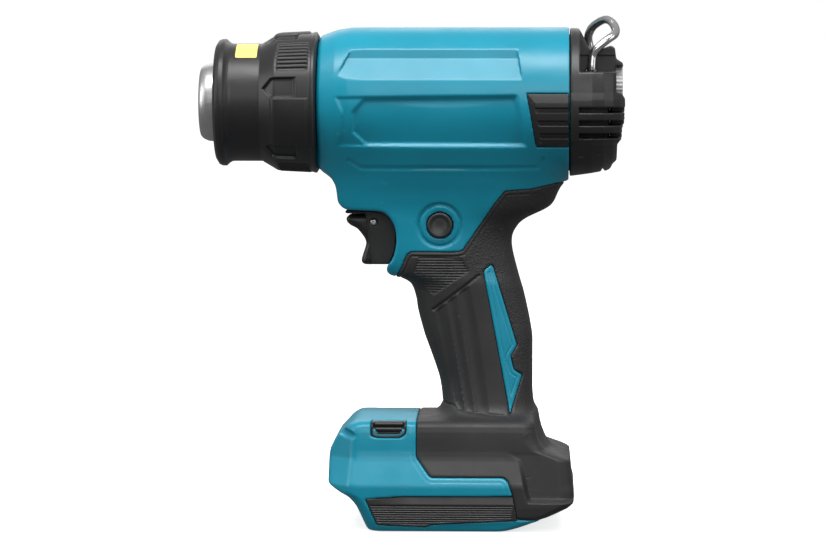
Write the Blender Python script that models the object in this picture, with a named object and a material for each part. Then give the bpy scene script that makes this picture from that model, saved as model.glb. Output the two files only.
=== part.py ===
"""A cordless pistol-grip heat gun, as an assembly of separate pieces.

The nozzle points to -X, the left-hand side of the tool faces -Y and +Z is up. The tool stands on
the plane Z = 0, and the origin is the bottom centre of its bounding box.
Lengths in this file are millimetres, with X counted from the middle of the foot; place turns them
into metres from the origin.
"""

import math

import bmesh
import bpy
from mathutils import Vector

METRES = 0.001
FOOT_TO_ORIGIN = 10.65  # how far the foot's middle lies behind the origin
GAP = 0.3              # clearance between neighbouring solids
SEAM = 0.15            # each housing half stops this far from the middle plane

# Barrel: everything in it is turned about one axis along X.
AXIS_Z = 180.5
BARREL_RADIUS = 32.3
BARREL_WALL = 2.4
BARREL_SEGMENTS = 28
BARREL_FRONT = -50.2
BARREL_REAR = 56.5
SPIGOT_FRONT = -70.4
SPIGOT_RADIUS = 21.6
NOZZLE_TIP = -101.7
NOZZLE_RADIUS = 16.8
NOZZLE_REAR = -10.0
COVER_REAR = 80.4

# Handle, trigger and foot.
OVERMOLD = 2.4         # thickness of the rubber grip
WALL = 2.2             # thickness of the plastic under it
TRIGGER_PIVOT = (-26.8, 129.5)
PLUNGER_Z = 116.0
LOCK_CENTRE = (1.7, 128.7)
RING_PIVOT = (66.0, 193.0)
RING_WIRE = 1.8        # radius of the hanging ring's wire
RING_HALF_WIDTH = 12.4
DIAL_Z = 188.8
DECK_LOW = 14.0        # the deck over the battery channel
DECK_HIGH = 16.6
CHANNEL_HALF = 30.4
LIP_HALF = 25.6
LIP_HIGH = 5.4
CHANNEL_REAR = 40.0
FOOT_HALF = 37.8
FOOT_CEILING = 44.0    # the top of the room in the foot
NECK_LOW = 135.0       # above this the handle widens into the neck

# Housing screws: (X, Z) of each boss, and how far it reaches from the middle plane to the shell.
SCREW_PLACES = (
    (-36.0, 205.5, 14.4),
    (-36.0, 155.5, 14.4),
    (46.0, 206.0, 14.4),
    (46.0, 155.0, 14.4),
    (17.6, 128.0, 13.0),
    (28.0, 84.0, 11.2),
    (-39.0, 27.0, 27.5),
    (50.0, 22.0, 26.4),
)
BOSS_RADIUS = 3.4
SCREW_RADIUS = 1.5
SCREW_HEAD = 2.9
SCREW_DEPTH = 9.0      # the head's face lies this far from the middle plane

AIR_SLOTS = (177.8, 172.4, 167.0)   # heights of the slots in the grilles and the rear cover

# Long chains of cuts on curved shells, where the exact solver leaves slivers.
WHOLE_SHELLS = ("housing_left", "housing_right", "grip_left", "grip_right", "core", "core_grown",
                "hollow", "rear_cover")

TEAL = (0.0, 0.235, 0.335)
BLACK = (0.018, 0.018, 0.019)
RUBBER = (0.024, 0.024, 0.025)
STEEL = (0.62, 0.62, 0.63)
COPPER = (0.72, 0.43, 0.26)
CERAMIC = (0.80, 0.77, 0.70)
MICA = (0.62, 0.55, 0.42)


# ---------------------------------------------------------------- materials and objects

def clear_scene():
    for item in list(bpy.data.objects):
        bpy.data.objects.remove(item, do_unlink=True)


def material(name, colour, roughness=0.5, metallic=0.0):
    made = bpy.data.materials.new(name)
    made.use_nodes = True
    shader = made.node_tree.nodes["Principled BSDF"]
    shader.inputs["Base Color"].default_value = (*colour, 1.0)
    shader.inputs["Roughness"].default_value = roughness
    shader.inputs["Metallic"].default_value = metallic
    return made


def place(made, pivot):
    """Sets an object's location from its pivot in the foot's coordinates."""
    made.location = (Vector(pivot) + Vector((FOOT_TO_ORIGIN, 0.0, 0.0))) * METRES


def make_object(name, points, faces, colour=BLACK, roughness=0.5, metallic=0.0, pivot=(0, 0, 0)):
    """A closed mesh from points in millimetres, with its origin at pivot."""
    mesh = bpy.data.meshes.new(name)
    origin = Vector(pivot)
    mesh.from_pydata([(Vector(p) - origin) * METRES for p in points], [], faces)
    work = bmesh.new()
    work.from_mesh(mesh)
    bmesh.ops.recalc_face_normals(work, faces=work.faces)
    work.to_mesh(mesh)
    work.free()
    mesh.shade_smooth()
    mesh.set_sharp_from_angle(angle=math.radians(35))
    made = bpy.data.objects.new(name, mesh)
    place(made, pivot)
    made.data.materials.append(material(name, colour, roughness, metallic))
    bpy.context.scene.collection.objects.link(made)
    return made


def helper(made):
    """Marks a cutter or a guide, which is not a piece of the tool."""
    made.hide_render = True
    made.display_type = "WIRE"
    return made


def boolean(target, tool, operation):
    step = target.modifiers.new(operation.title(), "BOOLEAN")
    step.operation = operation
    step.solver = "MANIFOLD" if tool.name in WHOLE_SHELLS or target.name in WHOLE_SHELLS else "EXACT"
    step.object = tool


def cut(target, *tools):
    for tool in tools:
        boolean(target, tool, "DIFFERENCE")


def add(target, *tools):
    for tool in tools:
        boolean(target, tool, "UNION")


def keep(target, *tools):
    for tool in tools:
        boolean(target, tool, "INTERSECT")


# ---------------------------------------------------------------- shape makers

def turned_points(profile, segments, frame):
    """The points and faces of a profile of (along, radius) pairs spun about an axis.

    frame(along, u, v) places a point. A profile whose ends both have radius 0 is a solid of
    revolution; any other is a closed loop and gives a ring.
    """
    solid = profile[0][1] == 0 and profile[-1][1] == 0
    rings = profile[1:-1] if solid else profile
    points = []
    for along, radius in rings:
        for k in range(segments):
            turn = 2 * math.pi * k / segments
            points.append(frame(along, radius * math.cos(turn), radius * math.sin(turn)))
    faces = []
    steps = len(rings) - 1 if solid else len(rings)
    for i in range(steps):
        low = i * segments
        high = (i + 1) % len(rings) * segments
        for k in range(segments):
            after = (k + 1) % segments
            faces.append((low + k, low + after, high + after, high + k))
    if solid:
        last = (len(rings) - 1) * segments
        faces.append(tuple(range(segments)))
        faces.append(tuple(range(last, last + segments)))
    return points, faces


def turned_x(name, profile, segments=24, y=0.0, z=AXIS_Z, **look):
    """A piece turned about an axis along X."""
    points, faces = turned_points(profile, segments, lambda a, u, v: (a, y + u, z + v))
    return make_object(name, points, faces, **look)


def turned_y(name, profile, x, z, segments=16, **look):
    """A piece turned about an axis along Y."""
    points, faces = turned_points(profile, segments, lambda a, u, v: (x + u, a, z + v))
    return make_object(name, points, faces, **look)


def prism(name, outline, low, high, **look):
    """An outline of (X, Z) points extruded along Y from low to high."""
    count = len(outline)
    points = [(x, low, z) for x, z in outline] + [(x, high, z) for x, z in outline]
    faces = [tuple(range(count)), tuple(range(count, 2 * count))]
    for i in range(count):
        after = (i + 1) % count
        faces.append((i, after, count + after, count + i))
    return make_object(name, points, faces, **look)


def box(name, low, high, **look):
    corners = [(low[0], low[2]), (high[0], low[2]), (high[0], high[2]), (low[0], high[2])]
    return prism(name, corners, low[1], high[1], **look)


def rounded_section(z, front, rear, half, power, segments):
    """A horizontal superellipse from X = front to X = rear, 2 * half wide."""
    middle = (front + rear) / 2
    reach = (rear - front) / 2
    ring = []
    for k in range(segments):
        turn = 2 * math.pi * k / segments
        c, s = math.cos(turn), math.sin(turn)
        x = middle + reach * math.copysign(abs(c) ** (2 / power), c)
        y = half * math.copysign(abs(s) ** (2 / power), s)
        ring.append((x, y, z))
    return ring


def loft(name, sections, power, segments=16, inset=0.0, **look):
    """A solid through horizontal sections of (Z, front, rear, half width), shrunk by inset."""
    points = []
    for z, front, rear, half in sections:
        points += rounded_section(z, front + inset, rear - inset, half - inset, power, segments)
    faces = []
    for i in range(len(sections) - 1):
        for k in range(segments):
            after = (k + 1) % segments
            faces.append((i * segments + k, i * segments + after,
                          (i + 1) * segments + after, (i + 1) * segments + k))
    top = (len(sections) - 1) * segments
    faces.append(tuple(range(segments)))
    faces.append(tuple(range(top, top + segments)))
    return make_object(name, points, faces, **look)


def tube(name, route, radius, closed=False, resolution=2, pivot=(0, 0, 0), **look):
    """A round wire along a route of points, which are already close together."""
    curve = bpy.data.curves.new(name, "CURVE")
    curve.dimensions = "3D"
    curve.bevel_depth = radius * METRES
    curve.bevel_resolution = resolution
    curve.use_fill_caps = not closed
    spline = curve.splines.new("POLY")
    spline.points.add(len(route) - 1)
    spline.use_cyclic_u = closed
    origin = Vector(pivot)
    for point, spot in zip(spline.points, route):
        point.co = (*((Vector(spot) - origin) * METRES), 1.0)
    made = bpy.data.objects.new(name, curve)
    place(made, pivot)
    curve.materials.append(material(name, look.get("colour", STEEL), look.get("roughness", 0.4),
                                    look.get("metallic", 0.0)))
    bpy.context.scene.collection.objects.link(made)
    return made


def smooth_route(knots, pieces=5, closed=False):
    """Points along a Catmull-Rom curve through the knots."""
    count = len(knots)
    spans = count if closed else count - 1
    route = []
    for i in range(spans):
        near = [(i + j) % count if closed else min(max(i + j, 0), count - 1) for j in (-1, 0, 1, 2)]
        a, b, c, d = (Vector(knots[j]) for j in near)
        for k in range(pieces):
            t = k / pieces
            route.append(0.5 * (2 * b + (c - a) * t + (2 * a - 5 * b + 4 * c - d) * t * t
                                + (3 * b - a - 3 * c + d) * t ** 3))
    if not closed:
        route.append(Vector(knots[-1]))
    return route


def grown(outline, distance):
    """The outline with every edge moved outwards by distance; its points run anticlockwise."""
    count = len(outline)
    moved = []
    for i in range(count):
        before = Vector(outline[i - 1])
        here = Vector(outline[i])
        after = Vector(outline[(i + 1) % count])
        first = (here - before).normalized()
        second = (after - here).normalized()
        normal_a = Vector((first.y, -first.x))
        normal_b = Vector((second.y, -second.x))
        spread = max(1 + normal_a.dot(normal_b), 0.4)
        moved.append(tuple(here + (normal_a + normal_b) * (distance / spread)))
    return moved


# ---------------------------------------------------------------- outlines and sections

# The neck and handle, from inside the foot up to inside the barrel.
HANDLE = (
    (30.0, -10.0, 50.0, 27.0),
    (38.0, -6.0, 45.5, 25.5),
    (44.0, -1.5, 43.6, 22.5),
    (48.5, 1.8, 42.6, 20.0),
    (53.0, 2.5, 41.6, 18.8),
    (60.0, 1.8, 41.1, 18.0),
    (68.0, -0.4, 41.0, 17.4),
    (80.0, -5.0, 41.0, 17.0),
    (92.0, -8.2, 39.4, 16.8),
    (101.0, -10.4, 36.8, 16.9),
    (106.0, -12.0, 35.2, 17.0),
    (107.0, -20.8, 34.9, 17.0),
    (109.0, -21.6, 34.2, 17.1),
    (113.0, -20.2, 33.2, 17.2),
    (118.0, -17.6, 32.2, 17.4),
    (124.0, -16.9, 32.1, 17.6),
    (130.0, -18.0, 35.4, 18.0),
    (133.5, -20.4, 43.0, 18.4),
    (135.0, -22.8, 47.4, 18.7),
    (135.4, -39.0, 47.8, 18.8),
    (138.5, -42.0, 49.8, 19.4),
    (145.5, -43.6, 52.4, 21.5),
    (152.0, -45.0, 53.6, 24.5),
    (162.0, -45.5, 53.0, 26.0),
)
HANDLE_POWER = 2.6

FOOT = (
    (0.0, -25.0, 26.0, 35.6),
    (1.2, -26.6, 34.0, 36.6),
    (5.0, -28.8, 44.8, 37.4),
    (9.6, -31.0, 54.4, 37.8),
    (12.6, -32.6, 58.6, 37.8),
    (15.6, -35.2, 59.0, 37.8),
    (18.4, -41.4, 58.4, 37.8),
    (20.2, -45.4, 58.1, 37.4),
    (24.0, -45.6, 58.1, 35.6),
    (30.6, -45.4, 53.4, 32.0),
    (33.6, -44.4, 47.0, 31.4),
    (39.0, -42.0, 44.4, 31.0),
    (43.4, -38.2, 43.4, 30.0),
    (46.6, -34.6, 42.8, 27.4),
    (48.3, -30.4, 42.5, 23.0),
)
FOOT_POWER = 7.0

# The part of the handle and foot that rubber covers, seen from the side.
RUBBER_AREA = (
    (-7.8, 55.0),
    (-7.8, 29.5),
    (-2.0, 22.0),
    (29.6, 22.0),
    (31.4, 20.6),
    (33.6, 14.4),
    (34.2, 4.8),
    (62.0, 4.8),
    (62.0, 60.0),
    (49.0, 60.0),
    (49.0, 133.0),
    (56.0, 134.0),
    (56.0, 146.0),
    (52.0, 146.2),
    (40.0, 143.7),
    (29.5, 143.0),
    (24.8, 137.3),
    (14.6, 122.4),
    (8.2, 117.0),
    (-11.4, 117.2),
    (-14.0, 112.0),
    (-16.5, 107.4),
    (-26.0, 104.0),
    (-20.0, 55.0),
)

ACCENT_AREA = (
    (20.4, 108.6),
    (31.8, 48.4),
    (36.8, 64.4),
    (33.4, 66.8),
    (32.0, 72.4),
    (34.8, 77.0),
    (24.4, 110.4),
    (23.2, 111.4),
)

GRILLE_AREA = (
    (42.8, 162.6),
    (55.8, 162.4),
    (55.8, 184.6),
    (38.8, 184.6),
)

RAIL_AREA = (
    (-28.8, 13.2),
    (-24.0, 3.0),
    (-3.6, 2.0),
    (-1.4, 3.0),
    (35.0, 4.6),
    (33.2, 14.6),
    (-13.2, 14.6),
)

SOCKET_AREA = (
    (-26.6, 39.8),
    (-24.8, 39.0),
    (-14.6, 39.0),
    (-12.0, 40.4),
    (-12.0, 45.8),
    (-26.6, 45.8),
)

TRIGGER_OUTLINE = (
    (-38.6, 129.4),
    (-37.0, 127.6),
    (-34.1, 125.9),
    (-31.9, 123.4),
    (-30.5, 120.4),
    (-31.0, 117.8),
    (-32.1, 114.6),
    (-32.2, 111.4),
    (-30.8, 110.8),
    (-24.0, 110.8),
    (-23.0, 114.0),
    (-22.0, 126.0),
    (-23.4, 131.6),
    (-26.8, 132.9),
    (-37.6, 132.4),
    (-38.9, 131.2),
)

COVER_OUTLINE = (
    (57.0, 149.2),
    (70.4, 151.2),
    (70.8, 153.2),
    (72.0, 151.0),
    (74.8, 151.2),
    (75.0, 154.2),
    (77.0, 156.0),
    (77.0, 162.6),
    (79.4, 166.4),
    (79.0, 171.0),
    (COVER_REAR, 176.5),
    (80.0, 180.4),
    (76.2, 185.0),
    (76.2, 196.4),
    (79.8, 195.8),
    (79.2, 198.0),
    (76.4, 199.8),
    (75.8, 203.2),
    (64.8, 203.4),
    (60.4, 212.7),
    (57.0, 212.8),
)


# ---------------------------------------------------------------- shared helper solids

def half_spaces():
    """Boxes on each side of the middle plane: negative Y is the tool's left."""
    reach = 120.0
    left = box("left_side", (-reach, -reach, -20), (reach, -SEAM, 240))
    right = box("right_side", (-reach, SEAM, -20), (reach, reach, 240))
    return {"left": helper(left), "right": helper(right)}


def barrel_solid(name, wall=0.0, front=BARREL_FRONT, rear=BARREL_REAR):
    """The barrel's outer form, or with a wall its hollow."""
    radius = BARREL_RADIUS - wall
    profile = (
        (front, 0),
        (front, radius - 4.2),
        (front + 7.6, radius - 0.9),
        (front + 13.0, radius),
        (rear, radius),
        (rear, 0),
    )
    return turned_x(name, profile, segments=BARREL_SEGMENTS)


def core_form(name, inset):
    """The handle and foot under the rubber, or the hollow inside them."""
    made = helper(loft(name, HANDLE, HANDLE_POWER, segments=12, inset=inset))
    inner = tuple((z - inset if z > 40 else z, a, b, c) for z, a, b, c in FOOT)
    add(made, helper(loft(name + "_foot", inner, FOOT_POWER, segments=16, inset=inset)))
    return made


def hollow():
    """What both housing halves leave free inside."""
    wall = OVERMOLD + WALL
    made = helper(barrel_solid("hollow", BARREL_WALL, BARREL_FRONT + 3.0, BARREL_REAR + 5.0))
    bore = ((SPIGOT_FRONT - 5, 0), (SPIGOT_FRONT - 5, 18.4), (-40.0, 18.4), (-40.0, 0))
    add(made, helper(turned_x("spigot_bore", bore, segments=24)))
    neck = []
    for z, front, rear, half in HANDLE[::2]:
        if z > NECK_LOW:
            neck.append((z, front + 2.0, rear, half + 1.2))
        elif z >= FOOT_CEILING:
            neck.append((z, front, rear, half))
    add(made, helper(loft("handle_hollow", neck, HANDLE_POWER, segments=8, inset=wall)))
    room = [(DECK_HIGH, *FOOT[5][1:])]
    room += [row for row in FOOT if DECK_HIGH + 1 < row[0] < FOOT_CEILING]
    room.append((FOOT_CEILING, *FOOT[-2][1:]))
    add(made, helper(loft("foot_hollow", room, FOOT_POWER, segments=12, inset=wall)))
    return made


def battery_channel():
    """The channel under the foot that a battery slides into from the front."""
    made = helper(box("channel", (-60, -CHANNEL_HALF, LIP_HIGH), (CHANNEL_REAR, CHANNEL_HALF, DECK_LOW)))
    add(made, helper(box("channel_mouth", (-60, -LIP_HALF, -5), (CHANNEL_REAR, LIP_HALF, LIP_HIGH + 1))))
    return made


def trigger_opening():
    """The slot for the trigger and its bracket, with the hole behind it for the plunger."""
    outline = ((-50, 110.0), (-14.0, 110.0), (-13.0, 134.9), (-50, 134.9))
    made = helper(prism("trigger_opening", outline, -10.4, 10.4))
    way = ((-20.0, 0), (-20.0, 4.5), (-4.0, 4.5), (-4.0, 0))
    add(made, helper(turned_x("plunger_way", way, segments=16, z=PLUNGER_Z)))
    return made


# ---------------------------------------------------------------- housing and skins

def boss(side):
    """The screw bosses of one side, joined into one solid."""
    direction = -1 if side == "left" else 1
    made = []
    for i, (x, z, reach) in enumerate(SCREW_PLACES):
        profile = ((direction * SEAM, 0), (direction * SEAM, BOSS_RADIUS),
                   (direction * reach, BOSS_RADIUS), (direction * reach, 0))
        made.append(helper(turned_y(f"boss_{side}_{i}", profile, x, z, segments=8)))
    return made


def screw_holes(side):
    """Pilot holes in the left half; clearance holes with counterbores in the right."""
    made = []
    for i, (x, z, _) in enumerate(SCREW_PLACES):
        if side == "left":
            profile = ((-8.0, 0), (-8.0, SCREW_RADIUS + GAP), (2.0, SCREW_RADIUS + GAP), (2.0, 0))
        else:
            head = SCREW_HEAD + GAP
            low = SCREW_DEPTH - 2.6
            profile = ((-2.0, 0), (-2.0, SCREW_RADIUS + GAP), (low, SCREW_RADIUS + GAP),
                       (low, head), (60.0, head), (60.0, 0))
        made.append(helper(turned_y(f"screw_hole_{side}_{i}", profile, x, z, segments=8)))
    return made


def housing_half(side, parts):
    """One clamshell: barrel side, neck, the core of the handle and the foot."""
    made = barrel_solid(f"housing_{side}")
    made.data.materials[0] = material(f"housing_{side}", TEAL, 0.38)
    add(made, *parts["outer_forms"])
    cut(made, parts["rubber_space"])
    add(made, parts["core"])
    cut(made, parts["hollow"])
    add(made, *boss(side))
    keep(made, parts["halves"][side])
    cut(made, parts["channel"], parts["opening"], parts["lock_hole"], parts["bottom_trim"])
    cut(made, *parts[f"pockets_{side}"], *screw_holes(side))
    return made


def sided(side, low, high):
    """A span of distances from the middle plane, as Y values for that side."""
    return (-high, -low) if side == "left" else (low, high)


def side_pockets(side):
    """Recesses in the outside of one half for its trim pieces."""
    grille = prism(f"grille_pocket_{side}", grown(GRILLE_AREA, GAP), *sided(side, 20, 40))
    rail = prism(f"rail_pocket_{side}", grown(RAIL_AREA, GAP), *sided(side, 35.4, 45))
    socket = prism(f"socket_pocket_{side}", grown(SOCKET_AREA, GAP), *sided(side, 23.6, 45))
    return [helper(grille), helper(rail), helper(socket)]


def grip(side, parts):
    """The rubber skin of one side, from under the barrel down round the back of the foot."""
    made = loft(f"grip_{side}", HANDLE, HANDLE_POWER, colour=RUBBER, roughness=0.75)
    add(made, parts["foot_copy"])
    keep(made, parts["halves"][side], parts["rubber_area"])
    cut(made, parts["core_grown"], parts["barrel_clear"], parts["bottom_trim"], parts["channel"])
    cut(made, parts[f"accent_pocket_{side}"], *parts[f"pockets_{side}"][1:2])
    if side == "right":
        cut(made, *[bpy.data.objects[f"screw_hole_right_{i}"] for i in (4, 5, 7)])
    return made


def accent(side, parts):
    """The thin coloured insert on the side of the grip."""
    made = loft(f"accent_{side}", HANDLE, HANDLE_POWER, colour=TEAL, roughness=0.38)
    area = prism(f"accent_area_{side}", grown(ACCENT_AREA, -GAP), *sided(side, 2, 30))
    keep(made, helper(area))
    cut(made, parts["accent_floor"])
    return made


def grille(side):
    """The slotted black insert beside the fan, curved like the barrel."""
    profile = ((36.0, BARREL_RADIUS - 2.2), (36.0, BARREL_RADIUS),
               (56.0, BARREL_RADIUS), (56.0, BARREL_RADIUS - 2.2))
    made = turned_x(f"vent_grille_{side}", profile, segments=BARREL_SEGMENTS, roughness=0.5)
    keep(made, helper(prism(f"grille_area_{side}", GRILLE_AREA, *sided(side, 20, 40))))
    for i, z in enumerate(AIR_SLOTS):
        low, high = sided(side, 20, 40)
        slot = box(f"grille_slot_{side}_{i}", (45.0, low, z - 1.0), (53.6, high, z + 1.0))
        cut(made, helper(slot))
    return made


def rail_panel(side):
    return prism(f"rail_panel_{side}", RAIL_AREA, *sided(side, 35.8, FOOT_HALF - 0.2), roughness=0.6)


def hook_socket(side):
    """The black receptacle that a belt hook's tongue slips into."""
    made = prism(f"hook_socket_{side}", SOCKET_AREA, *sided(side, 24.0, 29.4), roughness=0.45)
    for i, z in enumerate((41.0, 43.8)):
        low, high = sided(side, 27.4, 40)
        cut(made, helper(box(f"socket_slit_{side}_{i}", (-25.0, low, z - 0.7), (-13.8, high, z + 0.7))))
    return made


def housing_parts():
    halves = half_spaces()
    outer = [
        helper(turned_x("spigot_outer", ((SPIGOT_FRONT, 0), (SPIGOT_FRONT, SPIGOT_RADIUS),
                                         (-45.0, SPIGOT_RADIUS), (-45.0, 0)), segments=BARREL_SEGMENTS)),
        helper(loft("handle_outer", HANDLE, HANDLE_POWER)),
        helper(loft("foot_outer", FOOT, FOOT_POWER, segments=24)),
    ]
    lock_hole = turned_y("lock_hole", ((-40.0, 0), (-40.0, 5.7), (40.0, 5.7), (40.0, 0)),
                         *LOCK_CENTRE, segments=20)
    barrel_clear = barrel_solid("barrel_clear", -GAP, BARREL_FRONT - 2, BARREL_REAR + 2)
    parts = {
        "halves": halves,
        "outer_forms": outer,
        "rubber_space": helper(prism("rubber_space", grown(RUBBER_AREA, GAP), -60, 60)),
        "rubber_area": helper(prism("rubber_area", RUBBER_AREA, -60, 60)),
        "core": core_form("core", OVERMOLD + GAP),
        "core_grown": core_form("core_grown", OVERMOLD),
        "hollow": hollow(),
        "channel": battery_channel(),
        "opening": trigger_opening(),
        "lock_hole": helper(lock_hole),
        "bottom_trim": helper(box("bottom_trim", (-100, -60, -30), (100, 60, 0.0))),
        "foot_copy": helper(loft("foot_copy", FOOT, FOOT_POWER, segments=24)),
        "barrel_clear": helper(barrel_clear),
        "accent_floor": helper(loft("accent_floor", HANDLE, HANDLE_POWER, inset=1.2)),
    }
    for side in ("left", "right"):
        parts[f"pockets_{side}"] = side_pockets(side)
        pocket = loft(f"accent_pocket_{side}", [(z, a - 8, b + 8, c + 8) for z, a, b, c in HANDLE],
                      HANDLE_POWER)
        area = prism(f"accent_pocket_area_{side}", ACCENT_AREA, *sided(side, 2, 30))
        keep(pocket, helper(area))
        cut(pocket, helper(loft(f"accent_bed_{side}", HANDLE, HANDLE_POWER, inset=1.2 + GAP)))
        parts[f"accent_pocket_{side}"] = helper(pocket)
    return parts


# ---------------------------------------------------------------- nozzle, heater and fan

def nozzle_guard():
    """The black turning guard with its flange, cylinder, cone and gripping band."""
    profile = (
        (-93.9, 19.4),
        (-93.9, 25.0),
        (-93.2, 26.5),
        (-92.0, 27.2),
        (-90.4, 27.2),
        (-88.2, 25.2),
        (-75.0, 25.2),
        (-68.8, 28.9),
        (-51.6, 30.0),
        (-50.6, 28.6),
        (-50.6, 22.3),
        (-70.0, 22.3),
        (-73.5, 21.2),
        (-90.5, 21.2),
        (-91.5, 19.4),
    )
    return turned_x("nozzle_guard", profile, segments=BARREL_SEGMENTS, roughness=0.5)


def guard_label():
    """A blank adhesive plate, curved like the guard's cylinder."""
    turns = [math.radians(50 + 5 * k) for k in range(7)]
    arc = [(25.5, turn) for turn in turns] + [(25.75, turn) for turn in turns[::-1]]
    points = []
    for x in (-85.6, -76.2):
        points += [(x, -r * math.cos(turn), AXIS_Z + r * math.sin(turn)) for r, turn in arc]
    count = len(arc)
    faces = [tuple(range(count)), tuple(range(count, 2 * count))]
    for i in range(count):
        after = (i + 1) % count
        faces.append((i, after, count + after, count + i))
    return make_object("guard_label", points, faces, colour=(0.85, 0.66, 0.02), roughness=0.5)


def nozzle_tube():
    """The steel outlet tube with its rolled lip."""
    inner = NOZZLE_RADIUS - 0.8
    profile = (
        (NOZZLE_TIP + 1.0, NOZZLE_RADIUS - 4.2),
        (NOZZLE_TIP, NOZZLE_RADIUS - 3.4),
        (NOZZLE_TIP + 0.9, NOZZLE_RADIUS - 1.4),
        (NOZZLE_TIP + 3.4, NOZZLE_RADIUS),
        (NOZZLE_REAR, NOZZLE_RADIUS),
        (NOZZLE_REAR, inner),
        (NOZZLE_TIP + 3.8, inner),
        (NOZZLE_TIP + 1.8, NOZZLE_RADIUS - 2.2),
    )
    return turned_x("nozzle_tube", profile, segments=24, colour=STEEL, roughness=0.3, metallic=1.0)


def ring(name, low, high, outer, inner, segments=20, **look):
    profile = ((low, outer), (high, outer), (high, inner), (low, inner))
    return turned_x(name, profile, segments=segments, **look)


def heater_core():
    """The cross-shaped mica former that carries the heating wire."""
    thin, wide = 0.9, 10.8
    low, high = -84.0, -18.0
    made = box("heater_core", (low, -wide, AXIS_Z - thin), (high, wide, AXIS_Z + thin),
               colour=MICA, roughness=0.7)
    upright = box("core_upright", (low, -thin, AXIS_Z - wide), (high, thin, AXIS_Z + wide))
    add(made, helper(upright))
    return made


def heating_coil():
    """Resistance wire wound round the former."""
    turns, steps, radius = 7, 8, 12.6
    low, high = -80.0, -22.0
    count = turns * steps
    route = []
    for k in range(count + 1):
        turn = 2 * math.pi * k / steps
        x = low + (high - low) * k / count
        route.append((x, radius * math.cos(turn), AXIS_Z + radius * math.sin(turn)))
    return tube("heating_coil", route, 0.55, resolution=1, colour=(0.45, 0.42, 0.40), metallic=1.0)


def ceramic_disc(name, low, high, radius):
    """A disc with a ring of air holes, which centres the former in its tube."""
    profile = ((low, 0), (low, radius), (high, radius), (high, 0))
    made = turned_x(name, profile, segments=20, colour=CERAMIC, roughness=0.8)
    for k in range(6):
        turn = 2 * math.pi * (k + 0.5) / 6
        hole = ((low - 1, 0), (low - 1, 2.6), (high + 1, 2.6), (high + 1, 0))
        y = 8.2 * math.cos(turn)
        z = AXIS_Z + 8.2 * math.sin(turn)
        cut(made, helper(turned_x(f"{name}_hole_{k}", hole, segments=6, y=y, z=z)))
    return made


def fan_duct():
    """The funnel that leads the fan's air into the heater tube."""
    profile = (
        (NOZZLE_REAR + GAP, 15.4),
        (NOZZLE_REAR + GAP, 17.6),
        (0.0, 18.2),
        (12.0, 26.4),
        (29.4, 26.4),
        (29.4, 24.6),
        (13.0, 24.6),
        (1.0, 16.0),
    )
    return turned_x("fan_duct", profile, segments=24, colour=(0.06, 0.06, 0.06), roughness=0.5)


def impeller():
    """A hub with seven raked blades, bored for the motor's shaft."""
    hub = ((16.5, 1.5), (16.5, 7.0), (18.0, 8.4), (27.5, 8.4), (27.5, 1.5))
    made = turned_x("impeller", hub, segments=20, colour=(0.10, 0.10, 0.11), roughness=0.45)
    for k in range(7):
        turn = 2 * math.pi * k / 7
        points = []
        for x, sweep in ((18.4, -0.16), (26.8, 0.20)):
            for radius in (8.0, 23.2):
                for side in (-0.6, 0.6):
                    angle = turn + sweep + side / radius
                    points.append((x, radius * math.cos(angle), AXIS_Z + radius * math.sin(angle)))
        faces = ((0, 1, 3, 2), (4, 5, 7, 6), (0, 1, 5, 4), (2, 3, 7, 6), (0, 2, 6, 4), (1, 3, 7, 5))
        add(made, helper(make_object(f"blade_{k}", points, faces)))
    return made


def motor_pieces():
    """The shaft, rotor, can and mount behind the impeller."""
    shaft = ((14.5, 0), (14.5, 1.2), (54.4, 1.2), (54.4, 0))
    turned_x("motor_shaft", shaft, segments=12, colour=STEEL, roughness=0.3, metallic=1.0)
    rotor = ((34.6, 9.0), (50.0, 9.0), (50.0, 1.5), (34.6, 1.5))
    turned_x("motor_rotor", rotor, segments=12, colour=COPPER, roughness=0.4, metallic=1.0)
    can = ((30.6, 12.8), (53.4, 12.8), (53.4, 2.0), (52.0, 2.0), (52.0, 11.6),
           (32.0, 11.6), (32.0, 2.0), (30.6, 2.0))
    turned_x("motor_can", can, segments=16, colour=STEEL, roughness=0.35, metallic=1.0)
    motor_mount()


def motor_mount():
    """A collar on three spokes, which holds the motor in the barrel."""
    made = ring("motor_mount", 31.5, 38.0, 15.4, 13.1, segments=16,
                colour=(0.06, 0.06, 0.06), roughness=0.5)
    outer = helper(ring("mount_rim", 31.5, 35.0, 28.9, 27.2, segments=20))
    add(made, outer)
    for k in range(3):
        turn = math.pi / 2 + 2 * math.pi * k / 3
        c, s = math.cos(turn), math.sin(turn)
        points = []
        for x in (32.0, 34.5):
            for radius in (14.4, 28.0):
                for across in (-1.5, 1.5):
                    points.append((x, radius * c - across * s, AXIS_Z + radius * s + across * c))
        faces = ((0, 1, 3, 2), (4, 5, 7, 6), (0, 1, 5, 4), (2, 3, 7, 6), (0, 2, 6, 4), (1, 3, 7, 5))
        add(made, helper(make_object(f"mount_spoke_{k}", points, faces)))
    return made


def heater_assembly():
    nozzle_guard()
    guard_label()
    nozzle_tube()
    ring("mica_tube", -90.0, -12.0, 14.9, 14.3, colour=MICA, roughness=0.7)
    heater_core()
    heating_coil()
    ceramic_disc("front_disc", -88.6, -85.0, 13.8)
    ceramic_disc("rear_disc", -17.0, -13.4, 13.8)
    probe = ((-97.0, 0), (-97.0, 1.0), (-96.2, 1.4), (-89.4, 1.4), (-89.4, 0))
    turned_x("temperature_sensor", probe, segments=12, z=AXIS_Z + 4.0, colour=STEEL, metallic=1.0)
    fuse = ((-12.6, 0), (-12.6, 2.0), (-3.6, 2.0), (-3.6, 0))
    turned_x("thermal_fuse", fuse, segments=12, z=AXIS_Z + 3.0, colour=STEEL, metallic=1.0)
    fan_duct()
    impeller()
    motor_pieces()


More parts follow.
